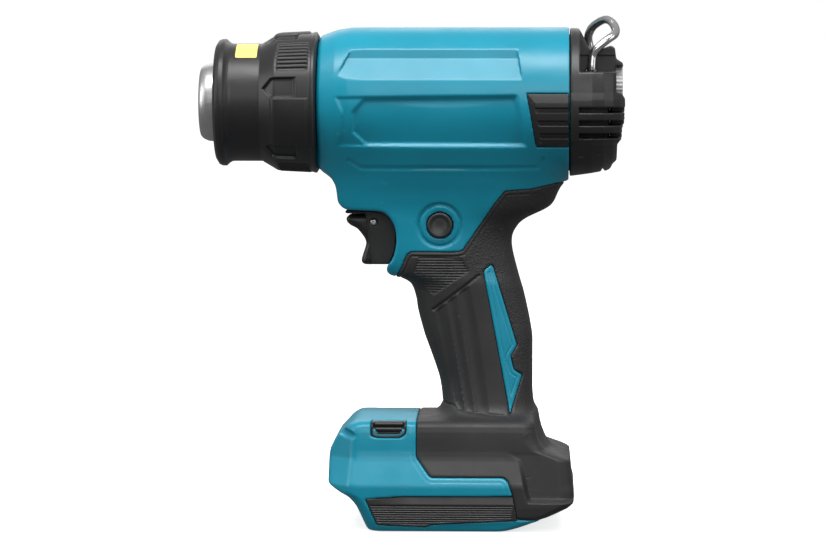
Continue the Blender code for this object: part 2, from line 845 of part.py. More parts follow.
# ---------------------------------------------------------------- rear cover and its fittings

def cover_side_cuts():
    """Everything that is cut from the rear cover's outline on each side."""
    tools = []
    for side in ("left", "right"):
        low, high = sided(side, 9.6, 60)
        tools.append(box(f"ring_recess_{side}", (61.0, low, 193.9), (95, high, 240)))
        low, high = sided(side, 9.6, 15.2)
        tools.append(box(f"leg_recess_{side}", (61.0, low, 187.4), (82.0, high, 200)))
        for i, z in enumerate(AIR_SLOTS):
            low, high = sided(side, 7.0, 40)
            slot = box(f"cover_slot_{side}_{i}", (60.6, low, z - 1.1), (95.0, high, z + 1.1))
            tools.append(slot)
    return [helper(tool) for tool in tools]


def rear_cover():
    """The black cap with air slots, the ring's lug and the dial's window."""
    profile = ((56.8, 0), (56.8, 32.2), (66.0, 31.8), (74.0, 29.2), (79.0, 24.6),
               (81.0, 20.0), (81.0, 0))
    made = turned_x("rear_cover", profile, segments=BARREL_SEGMENTS, roughness=0.5)
    keep(made, helper(prism("cover_form", COVER_OUTLINE, -40, 40)))
    inner = ((50.0, 0), (50.0, 29.4), (66.0, 29.0), (72.5, 25.0), (74.2, 18.0), (74.2, 0))
    inside = turned_x("cover_hollow", inner, segments=24)
    cut(inside, helper(box("shroud_room", (40, -40, 186.4), (90, 40, 230))))
    lug_room = box("lug_room", (50, -40, 186.0), (60.0, 40, 209.6))
    cut(made, helper(inside), helper(lug_room))
    cut(made, *cover_side_cuts())
    dial_room = turned_x("dial_room", ((71.4, 0), (71.4, 8.3), (85.0, 8.3), (85.0, 0)),
                         segments=24, z=DIAL_Z)
    stem = ((50.0, 0), (50.0, 5.4), (62.6, 5.4), (62.6, 1.9), (75.0, 1.9), (75.0, 0))
    stem_room = turned_x("stem_room", stem, segments=16, z=DIAL_Z)
    bar = turned_y("ring_bar_hole", ((-20.0, 0), (-20.0, 2.6), (20.0, 2.6), (20.0, 0)), *RING_PIVOT)
    cut(made, helper(dial_room), helper(stem_room), helper(bar))
    return made


# The ring's wire, as (X, Y, Z) from the middle of its bar: the bar, the left leg, which leans
# back under the bow, the bow, and the right leg, which comes down nearly upright.
RING_KNOTS = (
    (0.0, 0.0, 0.0),
    (0.0, -6.0, 0.0),
    (0.0, -RING_HALF_WIDTH, 0.2),
    (0.6, -RING_HALF_WIDTH, 7.8),
    (3.0, -RING_HALF_WIDTH, 11.4),
    (7.2, -11.0, 14.8),
    (9.9, -8.0, 16.8),
    (10.2, -3.5, 19.4),
    (8.3, 0.0, 22.4),
    (5.4, 3.5, 23.1),
    (1.3, 8.0, 20.5),
    (-0.7, 10.5, 17.3),
    (-1.1, 11.8, 14.5),
    (-0.5, RING_HALF_WIDTH, 11.3),
    (0.0, RING_HALF_WIDTH, 6.0),
    (0.0, RING_HALF_WIDTH, 0.2),
    (0.0, 6.0, 0.0),
)


def hanging_ring():
    """A closed wire ring: a bar through the lug, two bent legs and a bow between them."""
    x, z = RING_PIVOT
    knots = [(x + a, b, z + c) for a, b, c in RING_KNOTS]
    route = smooth_route(knots, pieces=3, closed=True)
    return tube("hanging_ring", route, RING_WIRE, closed=True, resolution=2, pivot=(x, 0.0, z),
                colour=STEEL, roughness=0.15, metallic=1.0)


def temperature_dial():
    """A ribbed knob turning about X, on the potentiometer's shaft."""
    points, faces = [], []
    count = 28
    for x in (74.4, 79.6):
        for k in range(count):
            turn = 2 * math.pi * k / count
            radius = 8.0 if k % 2 else 7.5
            points.append((x, radius * math.cos(turn), DIAL_Z + radius * math.sin(turn)))
    for k in range(count):
        after = (k + 1) % count
        faces.append((k, after, count + after, count + k))
    faces.append(tuple(range(count)))
    faces.append(tuple(range(count, 2 * count)))
    return make_object("temperature_dial", points, faces, colour=(0.62, 0.62, 0.60), roughness=0.5,
                       pivot=(77.0, 0.0, DIAL_Z))


def potentiometer():
    profile = ((56.0, 0), (56.0, 4.9), (62.0, 4.9), (62.0, 1.5), (74.0, 1.5), (74.0, 0))
    return turned_x("potentiometer", profile, segments=16, z=DIAL_Z, colour=(0.03, 0.10, 0.05))


def rear_assembly():
    rear_cover()
    hanging_ring()
    temperature_dial()
    potentiometer()


# ---------------------------------------------------------------- trigger, switch and lock

def trigger():
    """The finger lever, which turns about its pin."""
    x, z = TRIGGER_PIVOT
    made = prism("trigger", TRIGGER_OUTLINE[::-1], -8.0, 8.0, pivot=(x, 0.0, z), roughness=0.45)
    pin_hole = turned_y("trigger_pin_hole", ((-20, 0), (-20, 1.75), (20, 1.75), (20, 0)), x, z,
                        segments=12)
    spring_room = box("trigger_hollow", (-27.4, -5.6, 100.0), (-10.0, 5.6, 125.4))
    cut(made, helper(pin_hole), helper(spring_room))
    return made


def trigger_bracket():
    """The fixed black frame that carries the pin and closes the opening behind the trigger."""
    x, z = TRIGGER_PIVOT
    outline = ((-29.6, 126.4), (-27.6, 111.4), (-20.0, 111.4), (-17.2, 117.4), (-16.9, 125.0),
               (-18.0, 130.4), (-21.6, 134.5), (-39.2, 134.5), (-38.9, 133.2), (-30.4, 133.2))
    made = prism("trigger_bracket", outline, -9.9, 9.9, roughness=0.5)
    slot = box("bracket_slot", (-50.0, -8.3, 105.0), (-15.0, 8.3, 133.2))
    pin_hole = turned_y("bracket_pin_hole", ((-20, 0), (-20, 1.75), (20, 1.75), (20, 0)), x, z,
                        segments=12)
    cut(made, helper(slot), helper(pin_hole))
    return made


def trigger_group():
    x, z = TRIGGER_PIVOT
    trigger()
    trigger_bracket()
    pin = ((-10.2, 0), (-10.2, 1.5), (10.2, 1.5), (10.2, 0))
    turned_y("trigger_pin", pin, x, z, segments=12, colour=STEEL, roughness=0.25, metallic=1.0)
    switch = box("switch_body", (-1.6, -7.8, 99.6), (20.0, 7.8, 121.4), colour=(0.05, 0.05, 0.055))
    bore = ((-5.0, 0), (-5.0, 2.7), (3.0, 2.7), (3.0, 0))
    cut(switch, helper(turned_x("switch_bore", bore, segments=12, z=PLUNGER_Z)))
    plunger = ((-26.4, 0), (-26.4, 2.2), (-14.6, 2.2), (-14.6, 4.0), (-13.6, 4.0), (-13.6, 2.2),
               (-2.0, 2.2), (-2.0, 0))
    turned_x("switch_plunger", plunger, segments=12, z=PLUNGER_Z, colour=(0.75, 0.74, 0.70))
    plunger_spring()


def plunger_spring():
    """The coil between the switch and the plunger's collar."""
    turns, steps, radius = 4, 8, 3.3
    low, high = -12.7, -2.5
    count = turns * steps
    route = []
    for k in range(count + 1):
        turn = 2 * math.pi * k / steps
        x = low + (high - low) * k / count
        route.append((x, radius * math.cos(turn), PLUNGER_Z + radius * math.sin(turn)))
    return tube("plunger_spring", route, 0.4, resolution=1, metallic=1.0)


def lock_button():
    """The cross bolt that blocks the trigger."""
    profile = (
        (-18.6, 0), (-18.6, 4.4), (-18.0, 5.1), (-8.0, 5.1), (-8.0, 3.6),
        (8.0, 3.6), (8.0, 5.1), (18.0, 5.1), (18.6, 4.4), (18.6, 0),
    )
    return turned_y("lock_button", profile, *LOCK_CENTRE, segments=20, roughness=0.4)


# ---------------------------------------------------------------- foot electronics and leads

def terminal_block():
    """The contact carrier that hangs under the deck, with two blades that face the battery."""
    made = box("terminal_block", (10.0, -17.0, 5.6), (39.4, 17.0, 13.7), colour=(0.03, 0.03, 0.03))
    slots = [box(f"blade_room_{i}", (0.0, y - 2.4, 5.0), (24.0, y + 2.4, 11.6))
             for i, y in enumerate((-11.0, 11.0))]
    cut(made, *[helper(slot) for slot in slots])
    for name, y in (("contact_blade_left", -11.0), ("contact_blade_right", 11.0)):
        box(name, (12.0, y - 0.5, 6.4), (23.7, y + 0.5, 10.8), colour=COPPER, roughness=0.3,
            metallic=1.0)
    return made


RED_WIRE = (0.45, 0.01, 0.01)
BLACK_WIRE = (0.015, 0.015, 0.015)


def handle_lead(name, y, colour):
    """A wire up the handle, from the controller to the switch."""
    knots = [(18, y, 31.4), (18, y, 42), (20, y, 56), (19, y, 76), (12, y, 90), (10, y, 96.6)]
    return tube(name, smooth_route(knots, pieces=3), 1.3, resolution=1, colour=colour)


def leads():
    """The wires from the controller to the switch, and from there to the motor and the heater."""
    handle_lead("handle_lead_red", -4, RED_WIRE)
    handle_lead("handle_lead_black", 4, BLACK_WIRE)
    to_motor = [(10.5, -4, 122.0), (10.5, -4, 132), (20, -4, 141), (32, -4, 147.0), (39, -4, 150.0),
                (41, -4, 158), (47, -4, 163.5), (54, -4, 165.5)]
    tube("motor_lead", smooth_route(to_motor, pieces=3), 1.3, resolution=1, colour=RED_WIRE)
    to_heater = [(10.5, 4, 122.0), (10.5, 4, 132), (2, 4, 144), (-12, 4, 152), (-22, 4, 157),
                 (-26, 4, 161.4)]
    tube("heater_lead", smooth_route(to_heater, pieces=3), 1.3, resolution=1, colour=BLACK_WIRE)


def foot_group():
    box("control_module", (-30.0, -20.0, 18.4), (34.0, 20.0, 31.0), colour=(0.04, 0.05, 0.05))
    terminal_block()
    leads()


# ---------------------------------------------------------------- screws

def screw(name, x, z):
    """A tapping screw driven from the right, with a hexagonal socket in its head."""
    head = SCREW_DEPTH
    profile = (
        (-7.6, 0), (-7.6, 0.5), (-6.4, SCREW_RADIUS), (head - 2.2, SCREW_RADIUS),
        (head - 2.2, SCREW_HEAD), (head, SCREW_HEAD), (head, 0),
    )
    made = turned_y(name, profile, x, z, segments=8, colour=STEEL, roughness=0.35, metallic=1.0)
    socket = ((head - 1.4, 0), (head - 1.4, 1.1), (head + 1, 1.1), (head + 1, 0))
    cut(made, helper(turned_y(name + "_socket", socket, x, z, segments=6)))
    return made


def screws():
    for i, (x, z, _) in enumerate(SCREW_PLACES, start=1):
        screw(f"housing_screw_{i}", x, z)


# ---------------------------------------------------------------- the whole tool

def build():
    clear_scene()
    parts = housing_parts()
    for side in ("left", "right"):
        housing_half(side, parts)
        grip(side, parts)
        accent(side, parts)
        grille(side)
        rail_panel(side)
        hook_socket(side)
    heater_assembly()
    rear_assembly()
    trigger_group()
    lock_button()
    foot_group()
    screws()


build()
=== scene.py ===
"""The looks of the cordless heat gun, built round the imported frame.

Shapes are worked out in millimetres, with X counted from the middle of the foot, as in the part's
own source; to_frame turns them into metres from the frame's origin. Pieces with flowing surfaces
are made from a distance field: every sample point of a grid holds its distance to the surface,
negative inside, and the surface is drawn through the zero level.
"""

import math
from functools import reduce

import bpy
import numpy as np
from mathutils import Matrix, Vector


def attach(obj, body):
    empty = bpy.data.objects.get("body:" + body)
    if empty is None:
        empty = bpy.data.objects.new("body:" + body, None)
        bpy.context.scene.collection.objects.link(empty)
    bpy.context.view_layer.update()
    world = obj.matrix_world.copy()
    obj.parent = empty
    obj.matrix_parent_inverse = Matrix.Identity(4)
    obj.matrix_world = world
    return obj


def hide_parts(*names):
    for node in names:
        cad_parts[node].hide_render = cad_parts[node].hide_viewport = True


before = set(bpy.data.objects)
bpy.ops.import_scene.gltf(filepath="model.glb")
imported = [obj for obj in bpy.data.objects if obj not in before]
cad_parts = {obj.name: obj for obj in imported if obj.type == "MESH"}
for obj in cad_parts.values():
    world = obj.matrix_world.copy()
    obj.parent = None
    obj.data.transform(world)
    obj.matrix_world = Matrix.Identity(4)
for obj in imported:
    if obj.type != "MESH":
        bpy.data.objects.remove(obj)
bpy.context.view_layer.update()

MM = 0.001
ORIGIN_X = -10.65      # where the frame's origin lies, from the middle of the foot
AXIS_Z = 180.5         # the barrel's axis
BARREL_RADIUS = 32.2
BARREL_FRONT = -50.3
BARREL_REAR = 56.5
LOCK_X, LOCK_Z = 1.7, 128.7
SEAM = 0.08            # each half stops this far from the middle plane
SKIN = 2.4             # thickness of the rubber
SHELL = 2.2            # thickness of the plastic under it
GAP = 0.08             # half of the clearance between neighbouring pieces

SCREW_PLACES = ((-36.0, 205.5), (-36.0, 155.5), (46.0, 206.0), (46.0, 155.0),
                (17.6, 128.0), (28.0, 84.0), (-39.0, 27.0), (50.0, 22.0))
SCREW_DEPTH = 9.0      # the heads' faces lie this far from the middle plane
HEAD_ROOM = 3.2        # radius of the counterbores for them

INNER_RADIUS = 29.8    # the barrel's bore
SPIGOT_RADIUS = 21.6   # the tube that the guard turns on, and its bore
SPIGOT_BORE = 18.4
RAIL_FLOOR = 35.5      # the side panel's recess, from the middle plane
DECK_LOW, DECK_HIGH = 14.0, 16.6      # the deck over the battery channel
CHANNEL_HALF, CHANNEL_REAR = 30.4, 40.0
LIP_HALF, LIP_HIGH = 25.6, 6.4        # the room between the channel's lips
PIN_X, PIN_Z = -26.8, 129.5           # the trigger's pin
DIAL_Z = 188.8


# ---- distance fields

class Space:
    """Sample points of a box, in millimetres, as three arrays that broadcast together."""

    def __init__(self, low, high, cell):
        self.low = np.array(low, np.float32)
        self.cell = np.array(cell, np.float32) * 1.0
        counts = np.ceil((np.array(high) - self.low) / self.cell).astype(int) + 1
        rows = [self.low[i] + self.cell[i] * np.arange(counts[i], dtype=np.float32) for i in range(3)]
        self.axes = self.x, self.y, self.z = np.meshgrid(*rows, indexing="ij", sparse=True)


def line(x, z, points):
    """Distance from points of the XZ plane to an open line."""
    nearest = np.full(np.broadcast(x, z).shape, 1e9, np.float32)
    for (x0, z0), (x1, z1) in zip(points, points[1:]):
        ex, ez = x1 - x0, z1 - z0
        wx, wz = x - x0, z - z0
        t = np.clip((wx * ex + wz * ez) / (ex * ex + ez * ez + 1e-9), 0, 1)
        nearest = np.minimum(nearest, (wx - ex * t) ** 2 + (wz - ez * t) ** 2)
    return np.sqrt(nearest)


def outline(x, z, points):
    """Distance from points of the XZ plane to a closed outline, negative inside."""
    closed = (*points, points[0])
    inside = np.zeros(np.broadcast(x, z).shape, bool)
    for (x0, z0), (x1, z1) in zip(closed, closed[1:]):
        if z0 != z1:
            beside = (z >= min(z0, z1)) & (z < max(z0, z1))
            inside ^= beside & (x - x0 < (z - z0) * ((x1 - x0) / (z1 - z0)))
    return np.where(inside, -1, 1).astype(np.float32) * line(x, z, closed)


def eased_corners(points, radius, steps=4):
    """The outline with each corner replaced by a curve that starts radius before it."""
    made = []
    count = len(points)
    for i, corner in enumerate(points):
        here = Vector(corner)
        ends = []
        for other in (points[i - 1], points[(i + 1) % count]):
            way = Vector(other) - here
            reach = min(radius, 0.45 * way.length)
            ends.append(here + way.normalized() * reach)
        for k in range(steps + 1):
            t = k / steps
            made.append(tuple(ends[0] * (1 - t) ** 2 + here * (2 * t * (1 - t)) + ends[1] * t * t))
    return made


def eased(z, table, column, spread):
    """A column of a table of heights, read at z and averaged over spread, so that its bends flow."""
    columns = tuple(zip(*table))
    offsets = np.linspace(-spread, spread, 7)
    total = sum(np.interp(z + offset, columns[0], columns[column]) for offset in offsets)
    return (total / len(offsets)).astype(np.float32)


def union(a, b, blend):
    """The nearer of two distances, with a fillet of about that size where they meet."""
    h = np.maximum(blend - np.abs(a - b), 0) / blend
    return np.minimum(a, b) - h * h * blend * 0.25


def common(a, b, blend):
    """The overlap of two solids, with edges eased by about that size."""
    h = np.maximum(blend - np.abs(a - b), 0) / blend
    return np.maximum(a, b) + h * h * blend * 0.25


def overlap(*solids):
    return reduce(np.maximum, solids)


def joined(*solids):
    return reduce(np.minimum, solids)


def cut(solid, *tools):
    """The solid without the tools."""
    return reduce(lambda left, tool: np.maximum(left, -tool), tools, solid)


def span(value, low, high):
    """Distance to the layer between low and high."""
    return np.maximum(low - value, value - high)


def off_axis(u, v, centre=(0.0, 0.0)):
    """How far points lie from an axis that crosses the plane of u and v at centre."""
    return np.sqrt((u - centre[0]) ** 2 + (v - centre[1]) ** 2)


def ramp(value, low, high):
    """0 below low, 1 above high and straight between."""
    return np.clip((value - low) / (high - low), 0, 1)


def surface(space, d):
    """Points and quads of the zero level of d, one point in each cell that it crosses."""
    inside = d < 0
    cells_shape = tuple(n - 1 for n in d.shape)
    corners = np.zeros(cells_shape, np.uint8)
    spans = [(slice(0, n), slice(1, n + 1)) for n in cells_shape]
    for i in (0, 1):
        for j in (0, 1):
            for k in (0, 1):
                corners += inside[spans[0][i], spans[1][j], spans[2][k]]
    mixed = (corners > 0) & (corners < 8)
    cells = np.argwhere(mixed)
    index = np.full(cells_shape, -1, np.int32)
    index[mixed] = np.arange(len(cells), dtype=np.int32)
    total = np.zeros((len(cells), 3), np.float32)
    count = np.zeros(len(cells), np.float32)
    for axis in range(3):
        others = [a for a in range(3) if a != axis]
        for i in (0, 1):
            for j in (0, 1):
                start = np.zeros(3, int)
                start[others[0]], start[others[1]] = i, j
                end = start.copy()
                end[axis] = 1
                da = d[tuple((cells + start).T)]
                db = d[tuple((cells + end).T)]
                crossed = (da < 0) != (db < 0)
                share = da[crossed] / (da[crossed] - db[crossed])
                found = np.tile(start.astype(np.float32), (len(share), 1))
                found[:, axis] += share
                total[crossed] += found
                count[crossed] += 1
    points = (cells + total / count[:, None]) * space.cell + space.low
    quads = []
    for axis in range(3):
        u, v = [(1, 2), (2, 0), (0, 1)][axis]
        low = [slice(1, -1)] * 3
        low[axis] = slice(0, -1)
        high = list(low)
        high[axis] = slice(1, None)
        a, b = inside[tuple(low)], inside[tuple(high)]
        for one, two, turned in ((a, b, False), (b, a, True)):
            spots = np.argwhere(one & ~two)
            for other in (u, v):
                spots[:, other] += 1
            ring = []
            for du, dv in ((1, 1), (0, 1), (0, 0), (1, 0)):
                cell = spots.copy()
                cell[:, u] -= du
                cell[:, v] -= dv
                ring.append(index[tuple(cell.T)])
            quads.append(np.stack(ring[::-1] if turned else ring, axis=1))
    return points, np.concatenate(quads)


# ---- meshes and pieces

def to_frame(points):
    return (np.asarray(points, np.float64) - (ORIGIN_X, 0, 0)) * MM


def mesh_object(name, points, quads, material, body="housing", slot=None, replaces=(), sharp=None):
    """A piece from points in millimetres and rows of four corners."""
    mesh = bpy.data.meshes.new(name)
    points = to_frame(points).astype(np.float32)
    quads = np.asarray(quads, np.int32)
    mesh.vertices.add(len(points))
    mesh.vertices.foreach_set("co", points.ravel())
    mesh.loops.add(quads.size)
    mesh.loops.foreach_set("vertex_index", quads.ravel())
    mesh.polygons.add(len(quads))
    mesh.polygons.foreach_set("loop_start", np.arange(0, quads.size, 4, dtype=np.int32))
    mesh.update(calc_edges=True)
    mesh.validate()
    mesh.shade_smooth()
    if sharp:
        mesh.set_sharp_from_angle(angle=math.radians(sharp))
    return piece(name, mesh, material, body, replaces)


def added(name, data):
    made = bpy.data.objects.new(name, data)
    bpy.context.scene.collection.objects.link(made)
    return made


def piece(name, data, material, body, replaces):
    data.materials.append(material)
    made = added(name, data)
    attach(made, body)
    if replaces:
        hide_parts(*replaces)
    return made


def mirrored(points, quads):
    return points * (1, -1, 1), quads[:, ::-1]


def turned(name, profile, segments, material, x=0.0, z=AXIS_Z, along="x", offset=None, **rest):
    """A closed profile of (along, radius) pairs spun about an axis along X or Y.

    Points on the axis are kept a hair off it. offset(along, angle, radius) gives how far each
    point moves outwards.
    """
    place = np.array(profile, np.float64)
    angles = np.linspace(0, 2 * math.pi, segments, endpoint=False)
    a = np.repeat(place[:, :1], segments, axis=1)
    r = np.repeat(np.maximum(place[:, 1:], 0.004), segments, axis=1)
    turn = np.repeat(angles[None, :], len(place), axis=0)
    if offset:
        r = r + offset(a, turn, r)
    u, v = r * np.cos(turn), r * np.sin(turn)
    if along == "x":
        points = np.stack([a, -u, z + v], axis=-1)
    else:
        points = np.stack([x + u, a, z + v], axis=-1)
    count = len(place)
    i = np.arange(count)[:, None]
    k = np.arange(segments)[None, :]
    after, beside = (i + 1) % count, (k + 1) % segments
    quads = np.stack([i * segments + k, after * segments + k,
                      after * segments + beside, i * segments + beside], axis=-1).reshape(-1, 4)
    points = points.reshape(-1, 3)
    return mesh_object(name, points, facing_out(points, quads), material, **rest)


def facing_out(points, quads):
    """The quads, turned round if the closed surface that they make faces inwards."""
    a, b, c, d = (points[quads[:, k]] for k in range(4))
    volume = np.einsum("ij,ij->i", a, np.cross(b, c)).sum() + np.einsum("ij,ij->i", a, np.cross(c, d)).sum()
    return quads if volume > 0 else quads[:, ::-1]


# ---- the outer form

HANDLE = (
    (28.0, -9.0, 50.0, 27.5),
    (36.7, -5.0, 46.2, 26.0),
    (41.8, -1.6, 44.0, 23.2),
    (47.0, 1.6, 42.6, 20.2),
    (52.2, 2.7, 41.6, 18.8),
    (57.4, 2.3, 41.1, 18.1),
    (62.6, 1.4, 41.1, 17.7),
    (67.8, -0.3, 41.1, 17.4),
    (72.9, -2.1, 41.1, 17.2),
    (80.7, -5.0, 41.1, 17.0),
    (88.5, -7.2, 39.8, 16.8),
    (96.3, -9.0, 38.1, 16.8),
    (101.5, -10.2, 36.8, 16.9),
    (104.5, -13.0, 35.8, 17.0),
    (107.0, -24.0, 35.1, 17.0),
    (111.8, -32.0, 33.8, 17.1),
    (117.0, -38.0, 32.5, 17.3),
    (120.9, -42.0, 32.0, 17.5),
    (124.8, -45.0, 32.5, 17.7),
    (127.4, -47.0, 34.2, 17.9),
    (130.0, -49.0, 36.2, 18.1),
    (132.6, -50.0, 41.1, 18.3),
    (135.2, -51.0, 47.4, 18.7),
    (137.7, -52.0, 50.0, 19.3),
    (142.9, -52.0, 52.2, 20.8),
    (149.0, -52.0, 54.0, 23.2),
    (154.0, -52.0, 56.0, 25.2),
    (162.0, -52.0, 56.4, 27.5),
)
HANDLE_POWER = 2.6

FRONT_OUTLINE = eased_corners((
    (-48.0, 190.0), (-48.4, 154.0), (-44.8, 149.2), (-42.8, 144.8), (-42.0, 138.0), (-40.2, 136.0),
    (-38.4, 135.0), (-25.0, 134.6), (-21.8, 133.9), (-19.4, 131.6), (-17.8, 128.6), (-17.0, 125.4),
    (-16.8, 121.6), (-17.4, 117.4), (-18.6, 113.8), (-20.8, 111.2), (-21.4, 109.0), (-20.2, 106.8),
    (-18.2, 106.0), (-14.4, 105.8), (-11.4, 103.6), (-8.8, 96.0), (-14.0, 60.0), (-14.0, 20.0),
    (80.0, 20.0), (80.0, 190.0)), 1.4, 3)

FOOT = (
    (-1.0, -27.2, 28.0, 35.4),
    (1.2, -28.9, 35.6, 36.4),
    (4.0, -30.2, 43.4, 37.0),
    (7.2, -31.6, 50.8, 37.4),
    (10.0, -33.0, 56.6, 37.6),
    (12.0, -34.4, 58.7, 37.6),
    (14.4, -36.8, 59.0, 37.6),
    (17.0, -41.8, 58.9, 37.6),
    (18.8, -44.8, 58.4, 37.6),
    (20.0, -45.5, 58.2, 37.4),
    (29.6, -45.4, 57.2, 32.4),
    (31.2, -45.3, 53.8, 31.9),
    (33.6, -44.8, 46.8, 31.5),
    (36.6, -43.4, 44.2, 31.3),
    (38.9, -42.0, 43.2, 31.1),
    (41.5, -39.6, 42.5, 30.8),
    (44.1, -36.9, 42.2, 30.0),
    (46.7, -34.0, 42.0, 28.2),
    (50.0, -29.2, 42.0, 24.0),
)
FOOT_CORNER = 6.0
FOOT_TOP = 46.6

RUBBER_EDGE = eased_corners((
    (-7.8, 56.0), (-7.8, 31.0), (-1.8, 22.9), (29.0, 22.9), (31.0, 21.5), (33.2, 15.2),
    (34.4, 5.4), (50.0, 4.8), (66.0, 4.8), (66.0, 70.0), (66.0, 132.0), (62.0, 147.2), (52.0, 146.6),
    (40.0, 144.0), (29.4, 143.4), (24.8, 137.7), (14.6, 122.6), (11.2, 117.7), (8.2, 117.2),
    (-11.2, 117.3), (-13.2, 114.7), (-14.0, 112.0), (-16.6, 107.0), (-26.0, 100.0),
    (-20.0, 56.0)), 1.2, 3)

ACCENT_EDGE = eased_corners((
    (20.2, 109.0), (31.7, 47.9), (36.9, 64.6), (33.4, 66.8), (31.9, 72.6), (34.7, 77.2),
    (24.4, 110.9), (23.4, 111.8)), 0.8, 3)

RECESS_EDGE = eased_corners((
    (-30.2, 183.6), (-35.7, 177.3), (-35.7, 168.0), (-29.6, 162.4), (39.2, 162.2), (34.6, 184.4)), 0.8, 3)
RECESS_FRAME = eased_corners((
    (-42.0, 183.4), (-39.3, 177.1), (-39.7, 167.4), (-41.4, 162.6), (-28.0, 162.4), (-28.0, 183.6)), 0.5, 2)
GRILLE_EDGE = ((38.7, 184.8), (56.2, 184.8), (56.2, 162.1), (42.7, 162.3))
SIDE_GROOVE = ((-36.6, 156.4), (-31.6, 153.2), (43.4, 153.3), (45.2, 157.0))
RAIL_EDGE = ((-29.2, 13.8), (-13.1, 15.0), (33.3, 15.2), (35.0, 5.0), (-1.3, 3.2), (-3.5, 2.2), (-24.2, 3.0))
SOCKET_EDGE = eased_corners((
    (-27.2, 39.9), (-24.6, 39.0), (-14.6, 39.0), (-12.0, 40.8), (-12.0, 45.6), (-13.8, 46.7),
    (-25.0, 46.7), (-27.2, 45.6)), 0.8, 3)


def barrel(space):
    """The barrel, with the ledge and facet that run along its upper side."""
    x, side, z = space.x, np.abs(space.y), space.z
    wall = np.interp(x, (BARREL_FRONT, -49.0, -42.6, -37.0, -30.0, 60.0),
                     (27.6, 28.8, 31.1, 32.0, BARREL_RADIUS, BARREL_RADIUS)).astype(np.float32)
    d = common(off_axis(space.y, z, (0.0, AXIS_Z)) - wall, BARREL_FRONT - x, 1.2)
    facet = (side - 30.55) * 0.778 + (z - 190.6) * 0.628
    ledge = (side - 22.7) * 0.988 + (z - 203.6) * 0.152
    front = (-(x + 35.6) * 13.1 + (z - 203.6) * 6.5) / 14.6
    rear = ((x - 34.5) * 12.5 + (z - 203.6) * 2.1) / 12.7
    groove = overlap(-facet, -ledge, front, rear)
    return common(d, -groove, 0.3)


def lofted(space, table, power, spread):
    """Distance to a loft through horizontal superellipses."""
    x, y, z = space.axes
    front = eased(z, table, 1, spread)
    rear = eased(z, table, 2, spread)
    half = eased(z, table, 3, spread)
    u = x - (front + rear) / 2
    across = (np.abs(u) / ((rear - front) / 2)) ** power + (np.abs(y) / half) ** power
    share = np.maximum(across, 1e-4) ** np.float32(1 / power)
    return np.sqrt(u * u + y * y) * (1 - 1 / share)


REAR_STEP = ((13.1, 39.1), (16.5, 38.1), (23.8, 36.6), (30.0, 35.0), (32.6, 30.7))


def foot(space):
    """The battery foot: a block on a wider skirt, with bevelled front corners.

    The skirt stops at the rear corner, where only its lowest part goes on round the back.
    """
    x, y, z = space.axes
    front = eased(z, FOOT, 1, 0.5)
    rear = eased(z, FOOT, 2, 0.5)
    half = eased(z, FOOT, 3, 0.3)
    step = np.interp(z, *zip(*REAR_STEP))
    behind = ramp(x - step, 0.0, 1.8) * ramp(z, 12.2, 13.8)
    narrow = np.minimum(np.interp(z, (13.6, 32.0), (33.8, 31.5)), half)
    half = (half + behind * (narrow - half)).astype(np.float32)
    ends = np.maximum(front - x, x - rear) + FOOT_CORNER
    sides = np.abs(y) - half + FOOT_CORNER
    plan = off_axis(np.maximum(ends, 0), np.maximum(sides, 0))
    plan = plan + np.minimum(overlap(ends, sides), 0) - FOOT_CORNER
    bevel = (np.abs(y) - x) * 0.7071 - np.interp(z, (19.4, 30.4, 44.0), (52.0, 47.2, 45.8))
    plan = common(plan, bevel.astype(np.float32), 1.6)
    crown = FOOT_TOP + 0.6 - (y / 30.0) ** 2 * 1.6
    return common(common(plan, z - crown, 2.4), -z, 0.8)


def outer_form(space):
    """Barrel, neck, handle and foot in one flowing solid, without its side details."""
    grip = lofted(space, HANDLE, HANDLE_POWER, 1.6)
    grip = np.maximum(grip, space.z - 176.0)
    grip = common(grip, outline(space.x, space.z, FRONT_OUTLINE), 1.6)
    upper = union(barrel(space), grip, 7.0)
    upper = np.maximum(upper, space.x - BARREL_REAR)
    return union(upper, foot(space), 6.0)


def side_relief(space):
    """How deep the plastic's side details go, by place in side view."""
    x, z = space.x, space.z
    recess = outline(x, z, RECESS_EDGE)
    depth = 1.7 * ramp(-recess, 0.0, 1.7)
    depth = np.maximum(depth, 0.6 * ramp(-outline(x, z, RECESS_FRAME), 0.0, 0.6))
    depth += 0.75 * ramp(-line(x, z, SIDE_GROOVE), -1.2, 0.0)
    lock = off_axis(x, z, (LOCK_X, LOCK_Z))
    depth += 1.1 * ramp(-lock, -9.9, -9.1) - 0.9 * ramp(-lock, -8.7, -7.9)
    edge = outline(x, z, RUBBER_EDGE)
    in_foot = z < 60
    depth += 0.35 * ramp(-edge, -0.7, -0.1) * in_foot
    depth += 0.22 * ramp(-np.abs(edge - 1.9), -0.5, 0.0) * in_foot * (x > -10)
    return depth.astype(np.float32)


# ---- materials

class Tree:
    """A short way to write a node tree."""

    def __init__(self, owner):
        owner.use_nodes = True
        self.tree = owner.node_tree

    def add(self, kind, **inputs):
        node = self.tree.nodes.new(kind)
        for name, value in inputs.items():
            self.put(node.inputs[name.replace("_", " ")], value)
        return node

    def put(self, socket, value):
        if isinstance(value, bpy.types.NodeSocket):
            self.tree.links.new(value, socket)
        else:
            socket.default_value = value


